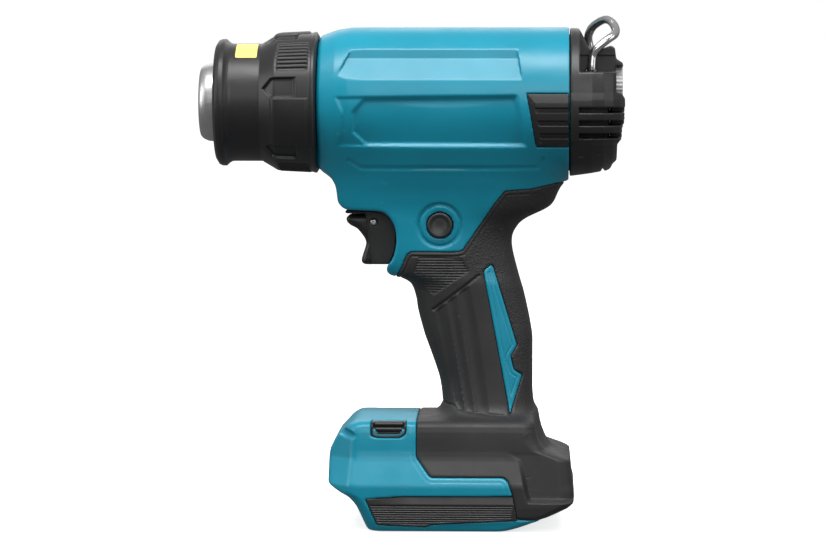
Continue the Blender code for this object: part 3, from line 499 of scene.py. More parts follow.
class Nodes(Tree):
    """A material's node tree."""

    def __init__(self, name, colour, roughness, metallic=0.0):
        self.material = bpy.data.materials.new(name)
        super().__init__(self.material)
        self.shader = self.tree.nodes["Principled BSDF"]
        self.shader.inputs["Base Color"].default_value = (*colour, 1.0)
        self.shader.inputs["Roughness"].default_value = roughness
        self.shader.inputs["Metallic"].default_value = metallic
        self.place = self.add("ShaderNodeTexCoord").outputs["Object"]

    def stretched(self, scale):
        return self.add("ShaderNodeMapping", Vector=self.place, Scale=scale).outputs["Vector"]

    def noise(self, size, detail=3.0, place=None):
        """Noise with features of about that size in millimetres."""
        node = self.add("ShaderNodeTexNoise", Vector=place or self.place, Scale=1000.0 / size, Detail=detail)
        return node.outputs["Fac"]

    def cells(self, size):
        node = self.add("ShaderNodeTexVoronoi", Vector=self.place, Scale=1000.0 / size)
        node.feature = "SMOOTH_F1"
        node.inputs["Smoothness"].default_value = 0.6
        return node.outputs["Distance"]

    def between(self, fac, low, high):
        """A number that goes from low to high as fac goes from 0.3 to 0.7."""
        node = self.add("ShaderNodeMapRange", Value=fac, From_Min=0.3, From_Max=0.7, To_Min=low, To_Max=high)
        return node.outputs["Result"]

    def sum(self, a, b, kind="ADD"):
        node = self.add("ShaderNodeMath")
        node.operation = kind
        self.put(node.inputs[0], a)
        self.put(node.inputs[1], b)
        return node.outputs["Value"]

    def blend(self, fac, first, second):
        node = self.add("ShaderNodeMix")
        node.data_type = "RGBA"
        self.put(node.inputs[0], fac)
        for socket, value in zip(node.inputs[6:8], (first, second)):
            self.put(socket, value if isinstance(value, bpy.types.NodeSocket) else (*value, 1.0))
        return node.outputs[2]

    def tint(self, fac, colour, spread):
        """The colour, a little darker or lighter with fac."""
        low = tuple(c * (1 - spread) for c in colour)
        high = tuple(min(c * (1 + spread), 1.0) for c in colour)
        shade = self.blend(self.between(fac, 0.0, 1.0), low, high)
        self.put(self.shader.inputs["Base Color"], shade)
        return shade

    def attribute(self, name):
        node = self.add("ShaderNodeAttribute")
        node.attribute_name = name
        return node.outputs["Fac"]

    def bump(self, height, depth):
        """Relief of that depth in millimetres for height 0 to 1."""
        node = self.add("ShaderNodeBump", Height=height, Strength=1.0, Distance=depth * MM)
        self.put(self.shader.inputs["Normal"], node.outputs["Normal"])

    def rough(self, fac, low, high):
        self.put(self.shader.inputs["Roughness"], self.between(fac, low, high))

    def worn_edges(self, shade, colour, share):
        """Sharp outer edges are lighter, as handled plastic is."""
        sharp = self.add("ShaderNodeNewGeometry").outputs["Pointiness"]
        node = self.add("ShaderNodeMapRange", Value=sharp, From_Min=0.52, From_Max=0.62, To_Max=share)
        self.put(self.shader.inputs["Base Color"], self.blend(node.outputs["Result"], shade, colour))


def plastic(name, colour, roughness, grain=0.45, depth=0.02, edge=None):
    """Moulded plastic with a fine spark-eroded grain."""
    n = Nodes(name, colour, roughness)
    shade = n.tint(n.noise(26.0, 2.0), colour, 0.05)
    n.rough(n.noise(9.0), roughness - 0.05, roughness + 0.05)
    n.bump(n.sum(n.noise(grain, 2.0), n.noise(grain * 3.1, 1.0)), depth)
    if edge:
        n.worn_edges(shade, edge, 0.5)
    return n.material


def rubber(name):
    """Soft black skin: smooth in front, a leather grain where the mesh says so."""
    colour = (0.017, 0.017, 0.018)
    n = Nodes(name, colour, 0.55)
    shade = n.tint(n.noise(18.0, 2.0), colour, 0.14)
    pebbles = n.sum(n.cells(0.8), n.noise(0.55, 2.0))
    leather = n.sum(pebbles, n.attribute("leather"), "MULTIPLY")
    n.bump(n.sum(leather, n.sum(n.noise(0.4, 2.0), 0.16, "MULTIPLY")), 0.2)
    n.rough(n.noise(6.0), 0.48, 0.6)
    n.worn_edges(shade, (0.10, 0.10, 0.105), 0.45)
    return n.material


def metal(name, colour, roughness, streak=(1, 1, 1), size=0.6, depth=0.004, spread=0.06):
    """Bare metal with fine marks, drawn out along an axis where streak is small."""
    n = Nodes(name, colour, roughness, 1.0)
    marks = n.noise(size, 4.0, n.stretched(streak))
    n.tint(n.noise(8.0, 3.0), colour, spread)
    n.rough(marks, roughness - 0.06, roughness + 0.08)
    n.bump(marks, depth)
    return n.material


def grainy(name, colour, roughness, size, depth, spread=0.08):
    """Fired or pressed stock with a visible grain."""
    n = Nodes(name, colour, roughness)
    n.tint(n.noise(size * 4, 4.0), colour, spread)
    n.rough(n.noise(size), roughness - 0.08, roughness + 0.08)
    n.bump(n.noise(size, 3.0), depth)
    return n.material


TEAL = plastic("teal_plastic", (0.0, 0.240, 0.350), 0.34, 0.5, 0.012, (0.03, 0.34, 0.44))
BLACK = plastic("black_plastic", (0.014, 0.014, 0.015), 0.38, 0.5, 0.02, (0.09, 0.09, 0.095))
MATT_BLACK = plastic("inner_plastic", (0.014, 0.014, 0.015), 0.6, 0.6, 0.03, (0.05, 0.05, 0.05))
GREY = plastic("grey_plastic", (0.55, 0.55, 0.54), 0.45, 0.4, 0.015, (0.7, 0.7, 0.69))
RUBBER = rubber("rubber")
STEEL = metal("brushed_steel", (0.60, 0.60, 0.61), 0.34, (0.05, 1, 1), 0.35, 0.006)
CHROME = metal("bright_wire", (0.66, 0.66, 0.67), 0.14, (1, 1, 1), 0.9, 0.002, 0.04)
ZINC = metal("screw_steel", (0.46, 0.46, 0.45), 0.34)
COPPER = metal("contact_copper", (0.70, 0.42, 0.25), 0.28)
WIRE = metal("resistance_wire", (0.36, 0.33, 0.31), 0.42)
MICA = grainy("mica", (0.50, 0.44, 0.33), 0.5, 1.2, 0.05, 0.18)
CERAMIC = grainy("ceramic", (0.72, 0.69, 0.62), 0.8, 0.5, 0.03)
LABEL = grainy("label_stock", (0.88, 0.76, 0.20), 0.42, 0.6, 0.004, 0.03)
BOARD = grainy("potted_board", (0.02, 0.05, 0.035), 0.45, 1.5, 0.05, 0.2)
RED_WIRE = plastic("red_wire", (0.42, 0.012, 0.010), 0.4)
BLACK_WIRE = plastic("black_wire", (0.014, 0.014, 0.015), 0.4)


# ---- housing and skins

def both_sides(name, points, quads, material, node, slot):
    """The piece on the right, and its mirror image on the left."""
    for side, (placed, faces) in (("left", mirrored(points, quads)), ("right", (points, quads))):
        mesh_object(f"{name}_{side}", placed, faces, material, slot=slot, replaces=(f"{node}_{side}",))


def battery_channel(space):
    """The room under the deck, wider above the lips that hold the battery's flanges."""
    side = np.abs(space.y)
    wide = overlap(side - CHANNEL_HALF, span(space.z, LIP_HIGH - 1.0, DECK_LOW), space.x - CHANNEL_REAR)
    mouth = overlap(side - LIP_HALF, space.z - LIP_HIGH, space.x - CHANNEL_REAR)
    return joined(wide, mouth)


def housing_wall(space, outer):
    """One clamshell before it is parted: the walls, the screw bosses and the openings."""
    x, y, z = space.axes
    reach = off_axis(y, z, (0.0, AXIS_Z))
    carved = outer + side_relief(space)
    wall = overlap(carved, GAP - outline(x, z, RUBBER_EDGE))
    for pocket, floor in ((GRILLE_EDGE, 22.0), (RAIL_EDGE, RAIL_FLOOR), (SOCKET_EDGE, 23.7)):
        wall = cut(wall, overlap(outline(x, z, pocket) - GAP, floor - y))
    wall = joined(wall, outer + SKIN + 2 * GAP, overlap(reach - SPIGOT_RADIUS, span(x, -72.0, -44.0)))
    handle_room = overlap(outer + SKIN + SHELL, DECK_HIGH - z)
    barrel_room = overlap(reach - INNER_RADIUS, carved + 1.5, -47.0 - x)
    wall = cut(wall, joined(handle_room, barrel_room, overlap(reach - SPIGOT_BORE, x)))
    for place in SCREW_PLACES:
        boss = off_axis(x, z, place)
        wall = joined(wall, overlap(boss - 4.2, outer + SKIN + 0.5))
        wall = cut(wall, overlap(boss - 1.8, y - 8.0))
    trigger_room = overlap(np.abs(y) - 10.3, x + 13.2, span(z, 110.2, 134.8))
    plunger_way = overlap(off_axis(y, z, (0.0, 116.0)) - 4.5, span(x, -20.0, -4.0))
    lock_hole = off_axis(x, z, (LOCK_X, LOCK_Z)) - 5.75
    strap_hole = tunnel(space, (-43.0, 19.0, 42.5), (-33.5, 34.0, 39.5), 1.7)
    return cut(wall, battery_channel(space), trigger_room, plunger_way, lock_hole, strap_hole)


def housing():
    """Both clamshells. A tongue along the left one's edge enters a groove in the right one's."""
    space = Space((-73.5, -0.6, -1.4), (60.4, 39.0, 214.2), (0.56, 0.52, 0.52))
    x, y, z = space.axes
    wall = housing_wall(space, outer_form(space))
    core = wall + 0.7
    half = common(wall, SEAM - y, 0.4)
    tongue = overlap(core, span(y, -0.5, 1.5))
    left = mirrored(*surface(space, joined(half, tongue)))
    for place in SCREW_PLACES:
        half = cut(half, overlap(off_axis(x, z, place) - HEAD_ROOM, SCREW_DEPTH - 2.5 - y))
    right = surface(space, cut(half, overlap(core - 0.1, y - 0.65)))
    for side, (points, quads) in (("left", left), ("right", right)):
        points[:, 2] = np.maximum(points[:, 2], 0.0)
        mesh_object(f"housing_{side}_shell", points, quads, TEAL, slot="teal_plastic",
                    replaces=(f"housing_{side}",))


def tunnel(space, start, end, radius):
    """Distance to a round rod between two points."""
    way = np.subtract(end, start)
    offsets = [axis - first for axis, first in zip((space.x, space.y, space.z), start)]
    t = np.clip(sum(o * w for o, w in zip(offsets, way)) / (way @ way), 0, 1)
    return np.sqrt(sum((o - t * w) ** 2 for o, w in zip(offsets, way))).astype(np.float32) - radius


FLUTE_LINES = (
    ((-0.7, 91.6), (4.0, 71.9), (8.2, 51.8), (8.6, 49.0)),
    ((4.4, 95.9), (7.8, 77.5), (12.5, 50.9), (12.8, 48.0)),
    ((9.1, 99.8), (11.2, 83.1), (16.8, 49.5), (17.2, 46.0)),
    ((14.2, 102.8), (18.0, 83.1), (23.0, 48.4), (23.4, 45.0)),
)
RIB_PANEL = eased_corners(((-7.4, 115.7), (11.0, 114.8), (14.3, 108.9), (-1.2, 98.2), (-9.4, 108.7)), 0.6, 2)
RIB_PITCH = 1.14


def grip_relief(space):
    """How deep the rubber's grooves, ribs and flutes go, by place in side view."""
    x, z = space.x, space.z
    inside = -outline(x, z, RUBBER_EDGE)
    depth = 0.5 * ramp(-inside, -0.9, 0.0)
    upper = (z > 100) & (x < 40)
    depth = depth + 0.4 * ramp(-np.abs(inside - 1.9), -0.5, -0.1) * upper
    panel = -outline(x, z, RIB_PANEL)
    ribs = 0.5 - 0.5 * np.cos(2 * math.pi * z / RIB_PITCH)
    depth = depth + (0.15 + 0.5 * ribs) * ramp(panel, 0.0, 0.4)
    strip = line(x, z, ((18.4, 107.2), (-0.9, 92.4)))
    depth = depth + 0.8 * ramp(-strip, -0.9, 0.0)
    crest = np.interp(x, (-0.9, 18.4), (92.4, 107.2)) - z
    floor = z - np.interp(x, (8.3, 10.4, 18.1, 29.2), (51.9, 49.5, 48.1, 47.3))
    ends = ramp(crest, 0.4, 1.6) * ramp(floor, 0.0, 1.2)
    sides = [np.interp(-z, [-p[1] for p in line_], [p[0] for p in line_]) for line_ in FLUTE_LINES]
    for left, right in zip(sides, sides[1:]):
        t = np.clip((x - left) / (right - left), 0, 1)
        depth = depth + 0.95 * (1 - (2 * t - 1) ** 2) * ends
    hem = line(x, z, ((2.0, 52.4), (7.7, 51.4), (9.0, 50.4), (14.1, 49.1), (21.7, 48.2), (29.3, 47.6)))
    depth = depth + 0.45 * ramp(-hem, -0.8, 0.0)
    accent = outline(x, z, ACCENT_EDGE)
    depth = depth + 0.35 * ramp(-accent, -0.8, -0.1)
    return depth.astype(np.float32)


LEATHER = ((6.0, 117.5), (17.0, 107.0), (24.0, 108.0), (36.0, 52.0), (38.0, 40.0), (70.0, 36.0),
           (70.0, 150.0), (24.0, 150.0), (18.0, 128.0))


def rubber_skin(side, points, quads):
    made = mesh_object(f"grip_{side}_skin", points, quads, RUBBER, slot="rubber", replaces=(f"grip_{side}",))
    leather = ramp(-outline(points[:, 0], points[:, 2], LEATHER), -1.5, 1.5)
    layer = made.data.attributes.new("leather", "FLOAT", "POINT")
    layer.data.foreach_set("value", leather.astype(np.float32))
    thin = made.modifiers.new("Thin", "DECIMATE")
    thin.ratio = 0.5


def grip():
    """The rubber skin of the handle and the back of the foot."""
    space = Space((-23.0, -0.6, -1.4), (60.6, 39.0, 148.6), (0.46, 0.44, 0.285))
    x, y, z = space.axes
    outer = outer_form(space)
    skin = overlap(outer + grip_relief(space) - 0.12, outline(x, z, RUBBER_EDGE) + GAP, -(outer + SKIN))
    accent_pocket = overlap(outline(x, z, ACCENT_EDGE) - GAP, -(outer + 1.4))
    rail_pocket = overlap(outline(x, z, RAIL_EDGE) - GAP, RAIL_FLOOR - y)
    channel = overlap(np.abs(y) - CHANNEL_HALF, z - DECK_LOW, x - CHANNEL_REAR)
    skin = common(cut(skin, accent_pocket, rail_pocket, channel), SEAM - y, 0.4)
    rubber_skin("left", *mirrored(*surface(space, skin)))
    for place in SCREW_PLACES[4:]:
        skin = cut(skin, off_axis(x, z, place) - HEAD_ROOM)
    rubber_skin("right", *surface(space, skin))


def accent():
    """The coloured insert in the side of the grip, with a line engraved along its edge."""
    space = Space((19.0, 10.0, 46.0), (38.2, 19.4, 113.4), (0.3, 0.3, 0.3))
    outer = outer_form(space)
    edge = outline(space.x, space.z, ACCENT_EDGE) + GAP
    relief = 0.16 + 0.3 * ramp(edge, -0.6, 0.0) + 0.3 * ramp(-np.abs(edge + 1.9), -0.45, 0.0)
    insert = overlap(outer + relief, edge, -(outer + 1.35))
    both_sides("accent_insert", *surface(space, insert), TEAL, "accent", "teal_plastic")


SLOT_HEIGHTS = (177.8, 172.4, 167.0)


def louvres(z, half):
    """1 in the three air slots and 0 between them."""
    return overlap(*[ramp(-np.abs(z - height), -half - 0.35, -half) for height in SLOT_HEIGHTS])


def grille():
    """The louvred black panel beside the fan, proud of the barrel with bevelled edges."""
    space = Space((37.6, 21.0, 160.8), (57.2, 35.0, 186.2), (0.26, 0.26, 0.2))
    x, z = space.x, space.z
    reach = off_axis(space.y, z, (0.0, AXIS_Z))
    front = ((x - 38.7) * 22.5 - (184.8 - z) * 4.0) / 22.85
    raised = joined(ramp(184.8 - z, 0, 3.8), ramp(front, 0, 2.6), ramp(z - 162.2, 0, 1.4))
    slots = 1.1 * louvres(z, 0.8) * ramp(front, 2.2, 3.2)
    face = reach - BARREL_RADIUS + 0.25 - 1.25 * raised + slots
    panel = overlap(face, outline(x, z, GRILLE_EDGE) + GAP, 29.4 - reach)
    both_sides("grille_panel", *surface(space, panel), BLACK, "vent_grille", "black_plastic")


def rail_panel():
    """The ribbed panel along the foot."""
    space = Space((-30.2, 35.0, 1.2), (36.2, 38.4, 16.4), (0.5, 0.2, 0.16))
    x, y, z = space.axes
    edge = outline(x, z, RAIL_EDGE) + GAP
    ribs = 0.5 - 0.5 * np.cos(2 * math.pi * z / 0.95)
    ribbed = ramp(11.7 - z, 0, 0.3) * ramp(32.2 - x + 0.16 * (z - 5), 0, 0.3) * ramp(-edge, 0.5, 0.9)
    bevel = ramp(z, 11.7, 15.2) * ramp(x, -34.0, -8.0)
    panel = overlap(common(y - 37.65 + bevel + 0.4 * ribs * ribbed, edge, 0.3), RAIL_FLOOR + 0.3 - y)
    both_sides("rail_cover", *surface(space, panel), BLACK, "rail_panel", "black_plastic")


def hook_socket():
    """The black receptacle with its nested channels."""
    space = Space((-28.4, 23.0, 37.8), (-10.8, 31.0, 47.8), (0.2, 0.2, 0.2))
    x, y, z = space.axes
    floor = 24.0
    edge = outline(x, z, SOCKET_EDGE) + GAP
    block = joined(overlap(span(y, floor, 26.6), edge), overlap(span(y, floor, 29.6), edge, -edge - 0.9))
    for height, depth, low, high in ((44.6, 28.2, -25.6, -13.6), (42.5, 29.0, -25.2, -14.0),
                                     (40.9, 28.4, -24.4, -14.8)):
        top = depth - 0.8
        bar = off_axis(z, y, (height, top)) - 0.85
        web = overlap(np.abs(z - height) - 0.5, span(y, floor, top))
        block = joined(block, overlap(joined(bar, web), span(x, low, high)))
    block = overlap(block, outer_form(space) + 0.3)
    both_sides("socket_insert", *surface(space, block), BLACK, "hook_socket", "black_plastic")


# ---- rear cover, ring and dial

RING_PIVOT = Vector((66.0, 0.0, 193.0))
COVER_OUTLINE = eased_corners((
    (56.9, 149.0), (70.4, 151.2), (70.8, 153.0), (72.0, 151.0), (74.6, 151.2), (75.0, 154.2),
    (77.0, 156.0), (77.0, 163.2), (79.2, 166.0), (78.9, 170.2), (80.2, 172.0), (79.9, 175.6),
    (80.3, 177.4), (80.2, 182.6), (78.6, 185.0), (76.4, 185.4), (76.4, 196.2), (79.6, 195.6),
    (79.4, 197.6), (76.6, 199.4), (76.0, 204.0), (74.6, 205.0), (70.0, 203.4), (65.4, 203.6),
    (60.6, 212.7), (56.9, 212.7)), 0.6, 2)


def rear_cover():
    """The black cap: louvres round its sides, the ring's lug and the dial's window."""
    space = Space((53.6, -34.0, 147.4), (81.4, 34.0, 214.0), (0.34, 0.36, 0.3))
    x, y, z = space.axes
    side = np.abs(y)
    reach = off_axis(y, z, (0.0, AXIS_Z))
    wall = np.interp(x, (56.8, 66.0, 71.0, 75.0, 78.0, 80.4), (32.2, 31.9, 30.4, 27.8, 24.4, 19.0))
    band = ramp(185.2 - z, 0, 3.0) * ramp(z - 163.0, 0, 1.6)
    cap = common(reach - wall.astype(np.float32) - 0.9 * band, outline(x, z, COVER_OUTLINE), 1.2)
    strap_ribs = 0.5 + 0.5 * np.cos(2 * math.pi * y / 2.3)
    cap = cap + 0.3 * strap_ribs * ramp(z, 203.6, 204.6) * ramp(x, 60.8, 61.6)
    inner_wall = np.interp(x, (50.0, 66.0, 72.5, 74.2), (29.4, 29.0, 25.0, 18.0)).astype(np.float32)
    cap = cut(cap, overlap(reach - inner_wall, x - 74.2, z - 186.4),
              overlap(reach - 29.4, x - 60.0, z - 209.4))
    beside_strap = overlap(9.7 - side, 61.0 - x, 193.9 - z)
    ring_wells = overlap(np.abs(side - 12.4) - 2.9, np.abs(x - 72.0) - 11.0, np.abs(z - 194.0) - 6.6)
    cap = common(cap, -joined(beside_strap, ring_wells), 0.6)
    slots = joined(*[np.abs(z - height) for height in SLOT_HEIGHTS]) - 1.1
    cap = common(cap, -overlap(slots, 60.7 - x, 7.0 - side), 0.5)
    window = off_axis(y, z, (0.0, DIAL_Z))
    ring_bore = off_axis(x, z, (RING_PIVOT.x, RING_PIVOT.z)) - 2.6
    cap = cut(cap, overlap(window - 8.4, 71.4 - x), overlap(window - 5.4, x - 62.6),
              overlap(window - 1.9, x - 75.0), overlap(ring_bore, side - 20.0))
    lip = overlap(np.abs(reach - 28.2) - 1.0, np.abs(x - 57.4) - 2.8)
    cap = joined(overlap(cap, 56.8 - x), lip)
    mesh_object("rear_cap", *surface(space, cap), BLACK, slot="black_plastic", replaces=("rear_cover",))
    lining = overlap(np.abs(reach - inner_wall + 0.55) - 0.4, span(x, 60.8, 74.0))
    webs = overlap(np.abs(side - 3.6) - 0.6, span(x, 66.0, 74.0), reach - inner_wall + 0.5)
    screen = overlap(joined(lining, webs), z - 182.0)
    mesh_object("intake_screen", *surface(space, screen), MATT_BLACK, slot="inner_plastic")


RING_KNOTS = (
    (0.0, 0.0, 0.0), (0.0, -6.0, 0.0), (0.0, -12.4, 0.2), (0.6, -12.4, 7.8), (3.0, -12.4, 11.4),
    (7.2, -11.0, 14.8), (9.9, -8.0, 16.8), (10.2, -3.5, 19.4), (8.3, 0.0, 22.3), (5.4, 3.5, 23.0),
    (1.3, 8.0, 20.5), (-0.7, 10.5, 17.3), (-1.1, 11.8, 14.5), (-0.5, 12.4, 11.3), (0.0, 12.4, 6.0),
    (0.0, 12.4, 0.2), (0.0, 6.0, 0.0),
)


def rounded_route(knots, steps):
    """Points along a closed Catmull-Rom curve."""
    count = len(knots)
    route = []
    for i in range(count):
        a, b, c, d = (np.array(knots[(i + j) % count], float) for j in (-1, 0, 1, 2))
        for k in range(steps):
            t = k / steps
            route.append(0.5 * (2 * b + (c - a) * t + (2 * a - 5 * b + 4 * c - d) * t * t
                                + (3 * b - a - 3 * c + d) * t ** 3))
    return route


def hanging_ring():
    """One length of wire, bent to a closed loop."""
    curve = bpy.data.curves.new("ring_wire", "CURVE")
    curve.dimensions = "3D"
    curve.bevel_depth = 1.8 * MM
    curve.bevel_resolution = 8
    route = to_frame(rounded_route([RING_PIVOT + Vector(knot) for knot in RING_KNOTS], 8))
    spline = curve.splines.new("POLY")
    spline.points.add(len(route) - 1)
    spline.use_cyclic_u = True
    for point, spot in zip(spline.points, route):
        point.co = (*spot, 1.0)
    piece("ring_wire", curve, CHROME, "hanging_ring", ("hanging_ring",))


def dial():
    """The ribbed knob at the rear edge."""
    profile = eased_corners(((74.5, 6.0), (74.5, 7.9), (79.5, 7.9), (79.5, 6.4), (78.9, 5.6), (78.9, 1.0),
                             (78.0, 1.0), (78.0, 0.6), (75.0, 0.6)), 0.5, 3)

    def ribs(along, angle, radius):
        outer = ramp(radius, 7.0, 7.6) * ramp(along, 74.6, 75.2) * ramp(-along, -79.4, -78.8)
        return -0.45 * outer * (0.5 + 0.5 * np.cos(28 * angle)) ** 2
    turned("dial_knob", profile, 336, GREY, z=DIAL_Z, offset=ribs, body="temperature_dial",
           slot="grey_plastic", replaces=("temperature_dial",), sharp=40)


# ---- nozzle

GUARD_RADIUS = 25.2    # its cylinder


def about(degrees, centre):
    """Angles counted from centre, between -180 and 180 degrees."""
    return (degrees - centre + 180.0) % 360.0 - 180.0


def guard_relief(along, angle, radius):
    """Pockets round the cone, with plain panels and gripping ribs by turns on the band behind."""
    degrees = np.degrees(angle)
    lift = np.zeros_like(along)
    for number in range(6):
        off = about(degrees, 14.0 + 60.0 * number)
        across = np.abs(off) / 8.6
        nose = -73.6 + 3.6 * np.clip(across, 0, 1)
        pocket = ramp(along - nose, 0.0, 1.2) * ramp(-58.8 - along, 0.0, 1.6)
        lift = lift - 1.5 * (pocket * ramp(1.0 - across, 0.0, 0.12))
        if number % 2 == 0:
            panel = ramp(20.6 - np.abs(about(off, -30.0)), 0.0, 0.7)
            panel = panel * ramp(along, -70.2, -69.4) * ramp(-along, 54.0, 54.6)
            lift = lift + 0.6 * panel * ramp(along, -72.0, -66.0) + 0.15 * panel
            knurled = about(off, 30.0)
            patch = ramp(16.0 - np.abs(knurled), 0.0, 0.4)
            patch = patch * ramp(along, -67.6, -66.8) * ramp(-along, 53.9, 54.5)
            ridge = 0.5 + 0.5 * np.cos(2 * math.pi * knurled / 4.0)
            lift = lift + patch * (0.75 * ridge ** 2 - 0.55)
    neck = 0.25 * ramp(-np.abs(along + 52.95), -0.35, 0.0)
    return np.where((radius > 23.5) & (along > -76.5), lift - neck, 0.0)


def guard():
    """The turning guard: flange, cylinder, cone and band, with its bore."""
    outside = ((-94.4, 19.4), (-94.6, 24.6), (-93.4, 26.6), (-92.0, 27.2), (-90.4, 27.2), (-89.2, 26.0),
               (-88.0, 25.3), (-86.8, GUARD_RADIUS), (-75.0, GUARD_RADIUS), (-68.8, 28.9), (-68.0, 29.2),
               (-53.2, 29.9), (-52.8, 30.2), (-51.6, 30.2), (-50.6, 28.6))
    inside = ((-50.6, 22.3), (-70.0, 22.3), (-73.5, 21.2), (-90.5, 21.2), (-91.5, 19.4))
    stations = []
    for (a, r), (b, s) in zip(outside, outside[1:]):
        steps = max(1, int(abs(b - a) / 0.3))
        stations += [(a + (b - a) * k / steps, r + (s - r) * k / steps) for k in range(steps)]
    turned("guard_body", [*stations, outside[-1], *inside], 1080, BLACK, offset=guard_relief,
           body="nozzle_guard", slot="black_plastic", replaces=("nozzle_guard",))


def label():
    """A blank adhesive plate with rounded corners on the guard's cylinder."""
    middle, turn, corner = -80.9, math.radians(65.0), 0.8
    half_length, half_width = 4.6, math.radians(15.4) * GUARD_RADIUS
    rows, columns = 25, 41
    points = []
    for radius in (GUARD_RADIUS + 0.03, GUARD_RADIUS + 0.16):
        for i in range(rows):
            for k in range(columns):
                u = (2 * i / (rows - 1) - 1) * half_length
                v = (2 * k / (columns - 1) - 1) * half_width
                inner_u, inner_v = half_length - corner, half_width - corner
                over = math.hypot(max(abs(u) - inner_u, 0), max(abs(v) - inner_v, 0))
                if over > corner:
                    u = math.copysign(inner_u + (abs(u) - inner_u) * corner / over, u)
                    v = math.copysign(inner_v + (abs(v) - inner_v) * corner / over, v)
                angle = turn + v / GUARD_RADIUS
                points.append((middle + u, -radius * math.cos(angle), AXIS_Z + radius * math.sin(angle)))
    size = rows * columns
    quads = []
    for a in range(size - columns):
        if (a + 1) % columns:
            face = (a, a + columns, a + columns + 1, a + 1)
            quads += [face, tuple(corner + size for corner in face[::-1])]
    last = size - columns
    border = (*range(columns - 1), *range(columns - 1, size - 1, columns),
              *range(size - 1, last, -1), *range(last, 0, -columns))
    for a, b in zip(border, border[1:] + border[:1]):
        quads.append((a, b, b + size, a + size))
    points = np.array(points)
    mesh_object("label_plate", points, facing_out(points, np.array(quads)), LABEL, body="nozzle_guard",
                slot="label", replaces=("guard_label",), sharp=50)


def nozzle():
    """The steel outlet with its rolled lip."""
    profile = eased_corners((
        (-100.9, 12.4), (-101.6, 13.2), (-101.5, 14.4), (-100.4, 15.6), (-98.2, 16.6), (-95.0, 16.8),
        (-10.0, 16.8), (-10.0, 16.0), (-96.0, 16.0), (-98.6, 15.6), (-100.0, 14.4), (-100.2, 13.2)), 0.9, 4)
    turned("outlet_tube", profile, 192, STEEL, slot="steel", replaces=("nozzle_tube",))
    mica = eased_corners(((-90.0, 14.9), (-12.0, 14.9), (-12.0, 14.3), (-90.0, 14.3)), 0.2, 2)
    turned("mica_sleeve", mica, 96, MICA, slot="mica", replaces=("mica_tube",))


def front_disc():
    """The ceramic disc inside the outlet, with its ring of air holes."""
    space = Space((-89.4, -14.6, AXIS_Z - 14.6), (-84.2, 14.6, AXIS_Z + 14.6), (0.26, 0.26, 0.26))
    x, y, z = space.x, space.y, space.z - AXIS_Z
    disc = common(span(x, -88.6, -85.0), off_axis(y, z) - 13.8, 0.6)
    for k in range(6):
        turn = 2 * math.pi * (k + 0.5) / 6
        hole = off_axis(y, z, (8.2 * math.cos(turn), 8.2 * math.sin(turn))) - 2.6
        disc = common(disc, -hole, 0.5)
    mesh_object("outlet_disc", *surface(space, disc), CERAMIC, slot="ceramic", replaces=("front_disc",))


# ---- trigger, lock and screws

TRIGGER_OUTLINE = eased_corners((
    (-38.7, 129.6), (-37.0, 128.0), (-34.1, 126.6), (-32.2, 124.4), (-30.6, 122.0), (-30.2, 120.4),
    (-30.6, 118.6), (-31.5, 116.0), (-32.3, 113.2), (-32.0, 111.8), (-30.6, 111.1), (-24.0, 111.1),
    (-23.0, 114.0), (-22.0, 126.0), (-23.4, 131.6), (-26.8, 132.9), (-37.4, 132.5), (-38.8, 131.4)), 0.9, 3)
BRACKET_OUTLINE = eased_corners((
    (-29.6, 126.4), (-27.6, 111.4), (-20.0, 111.4), (-17.4, 117.4), (-17.0, 125.0), (-18.2, 130.4),
    (-21.6, 134.4), (-39.1, 134.5), (-38.9, 133.2), (-30.4, 133.2)), 0.7, 3)


def trigger_group():
    """The lever, the frame that it turns in, and the pin through both."""
    space = Space((-40.0, -8.6, 110.2), (-21.0, 8.6, 133.8), (0.26, 0.26, 0.26))
    x, side, z = space.x, np.abs(space.y), space.z
    lever = common(outline(x, z, TRIGGER_OUTLINE), side - 8.0, 3.2)
    room = overlap(-27.4 - x, side - 5.6, z - 125.4)
    lever = cut(lever, off_axis(x, z, (PIN_X, PIN_Z)) - 1.7, room)
    mesh_object("trigger_lever", *surface(space, lever), BLACK, body="trigger", slot="black_plastic",
                replaces=("trigger",))
    space = Space((-40.0, -10.6, 110.6), (-16.2, 10.6, 135.4), (0.26, 0.26, 0.26))
    x, side, z = space.x, np.abs(space.y), space.z
    bracket = common(outline(x, z, BRACKET_OUTLINE), side - 9.9, 0.8)
    room = overlap(side - 8.3, x + 15.0, z - 133.2)
    bracket = cut(bracket, room, off_axis(x, z, (PIN_X, PIN_Z)) - 1.65)
    mesh_object("trigger_frame", *surface(space, bracket), BLACK, slot="black_plastic",
                replaces=("trigger_bracket",))
    turned("pivot_pin", both_ends(((10.35, 0.0), (10.25, 0.8), (10.0, 1.3), (9.6, 1.5))), 48, ZINC,
           along="y", x=PIN_X, z=PIN_Z, slot="steel", replaces=("trigger_pin",))


def both_ends(cap):
    """A closed profile from the (distance, radius) pairs of one end, given from its axis outwards."""
    return [(-a, r) for a, r in cap] + [(a, r) for a, r in cap[::-1]]


def lock_button():
    """The cross bolt, with a dished cap at each end."""
    cap = ((17.9, 0.0), (18.0, 2.6), (18.3, 3.9), (18.55, 4.4), (18.5, 4.9), (18.1, 5.3), (17.4, 5.45),
           (6.0, 5.45), (6.0, 6.8))
    turned("lock_bolt", both_ends(cap), 96, BLACK, along="y", x=LOCK_X, z=LOCK_Z, body="lock_button",
           slot="black_plastic", replaces=("lock_button",), sharp=60)


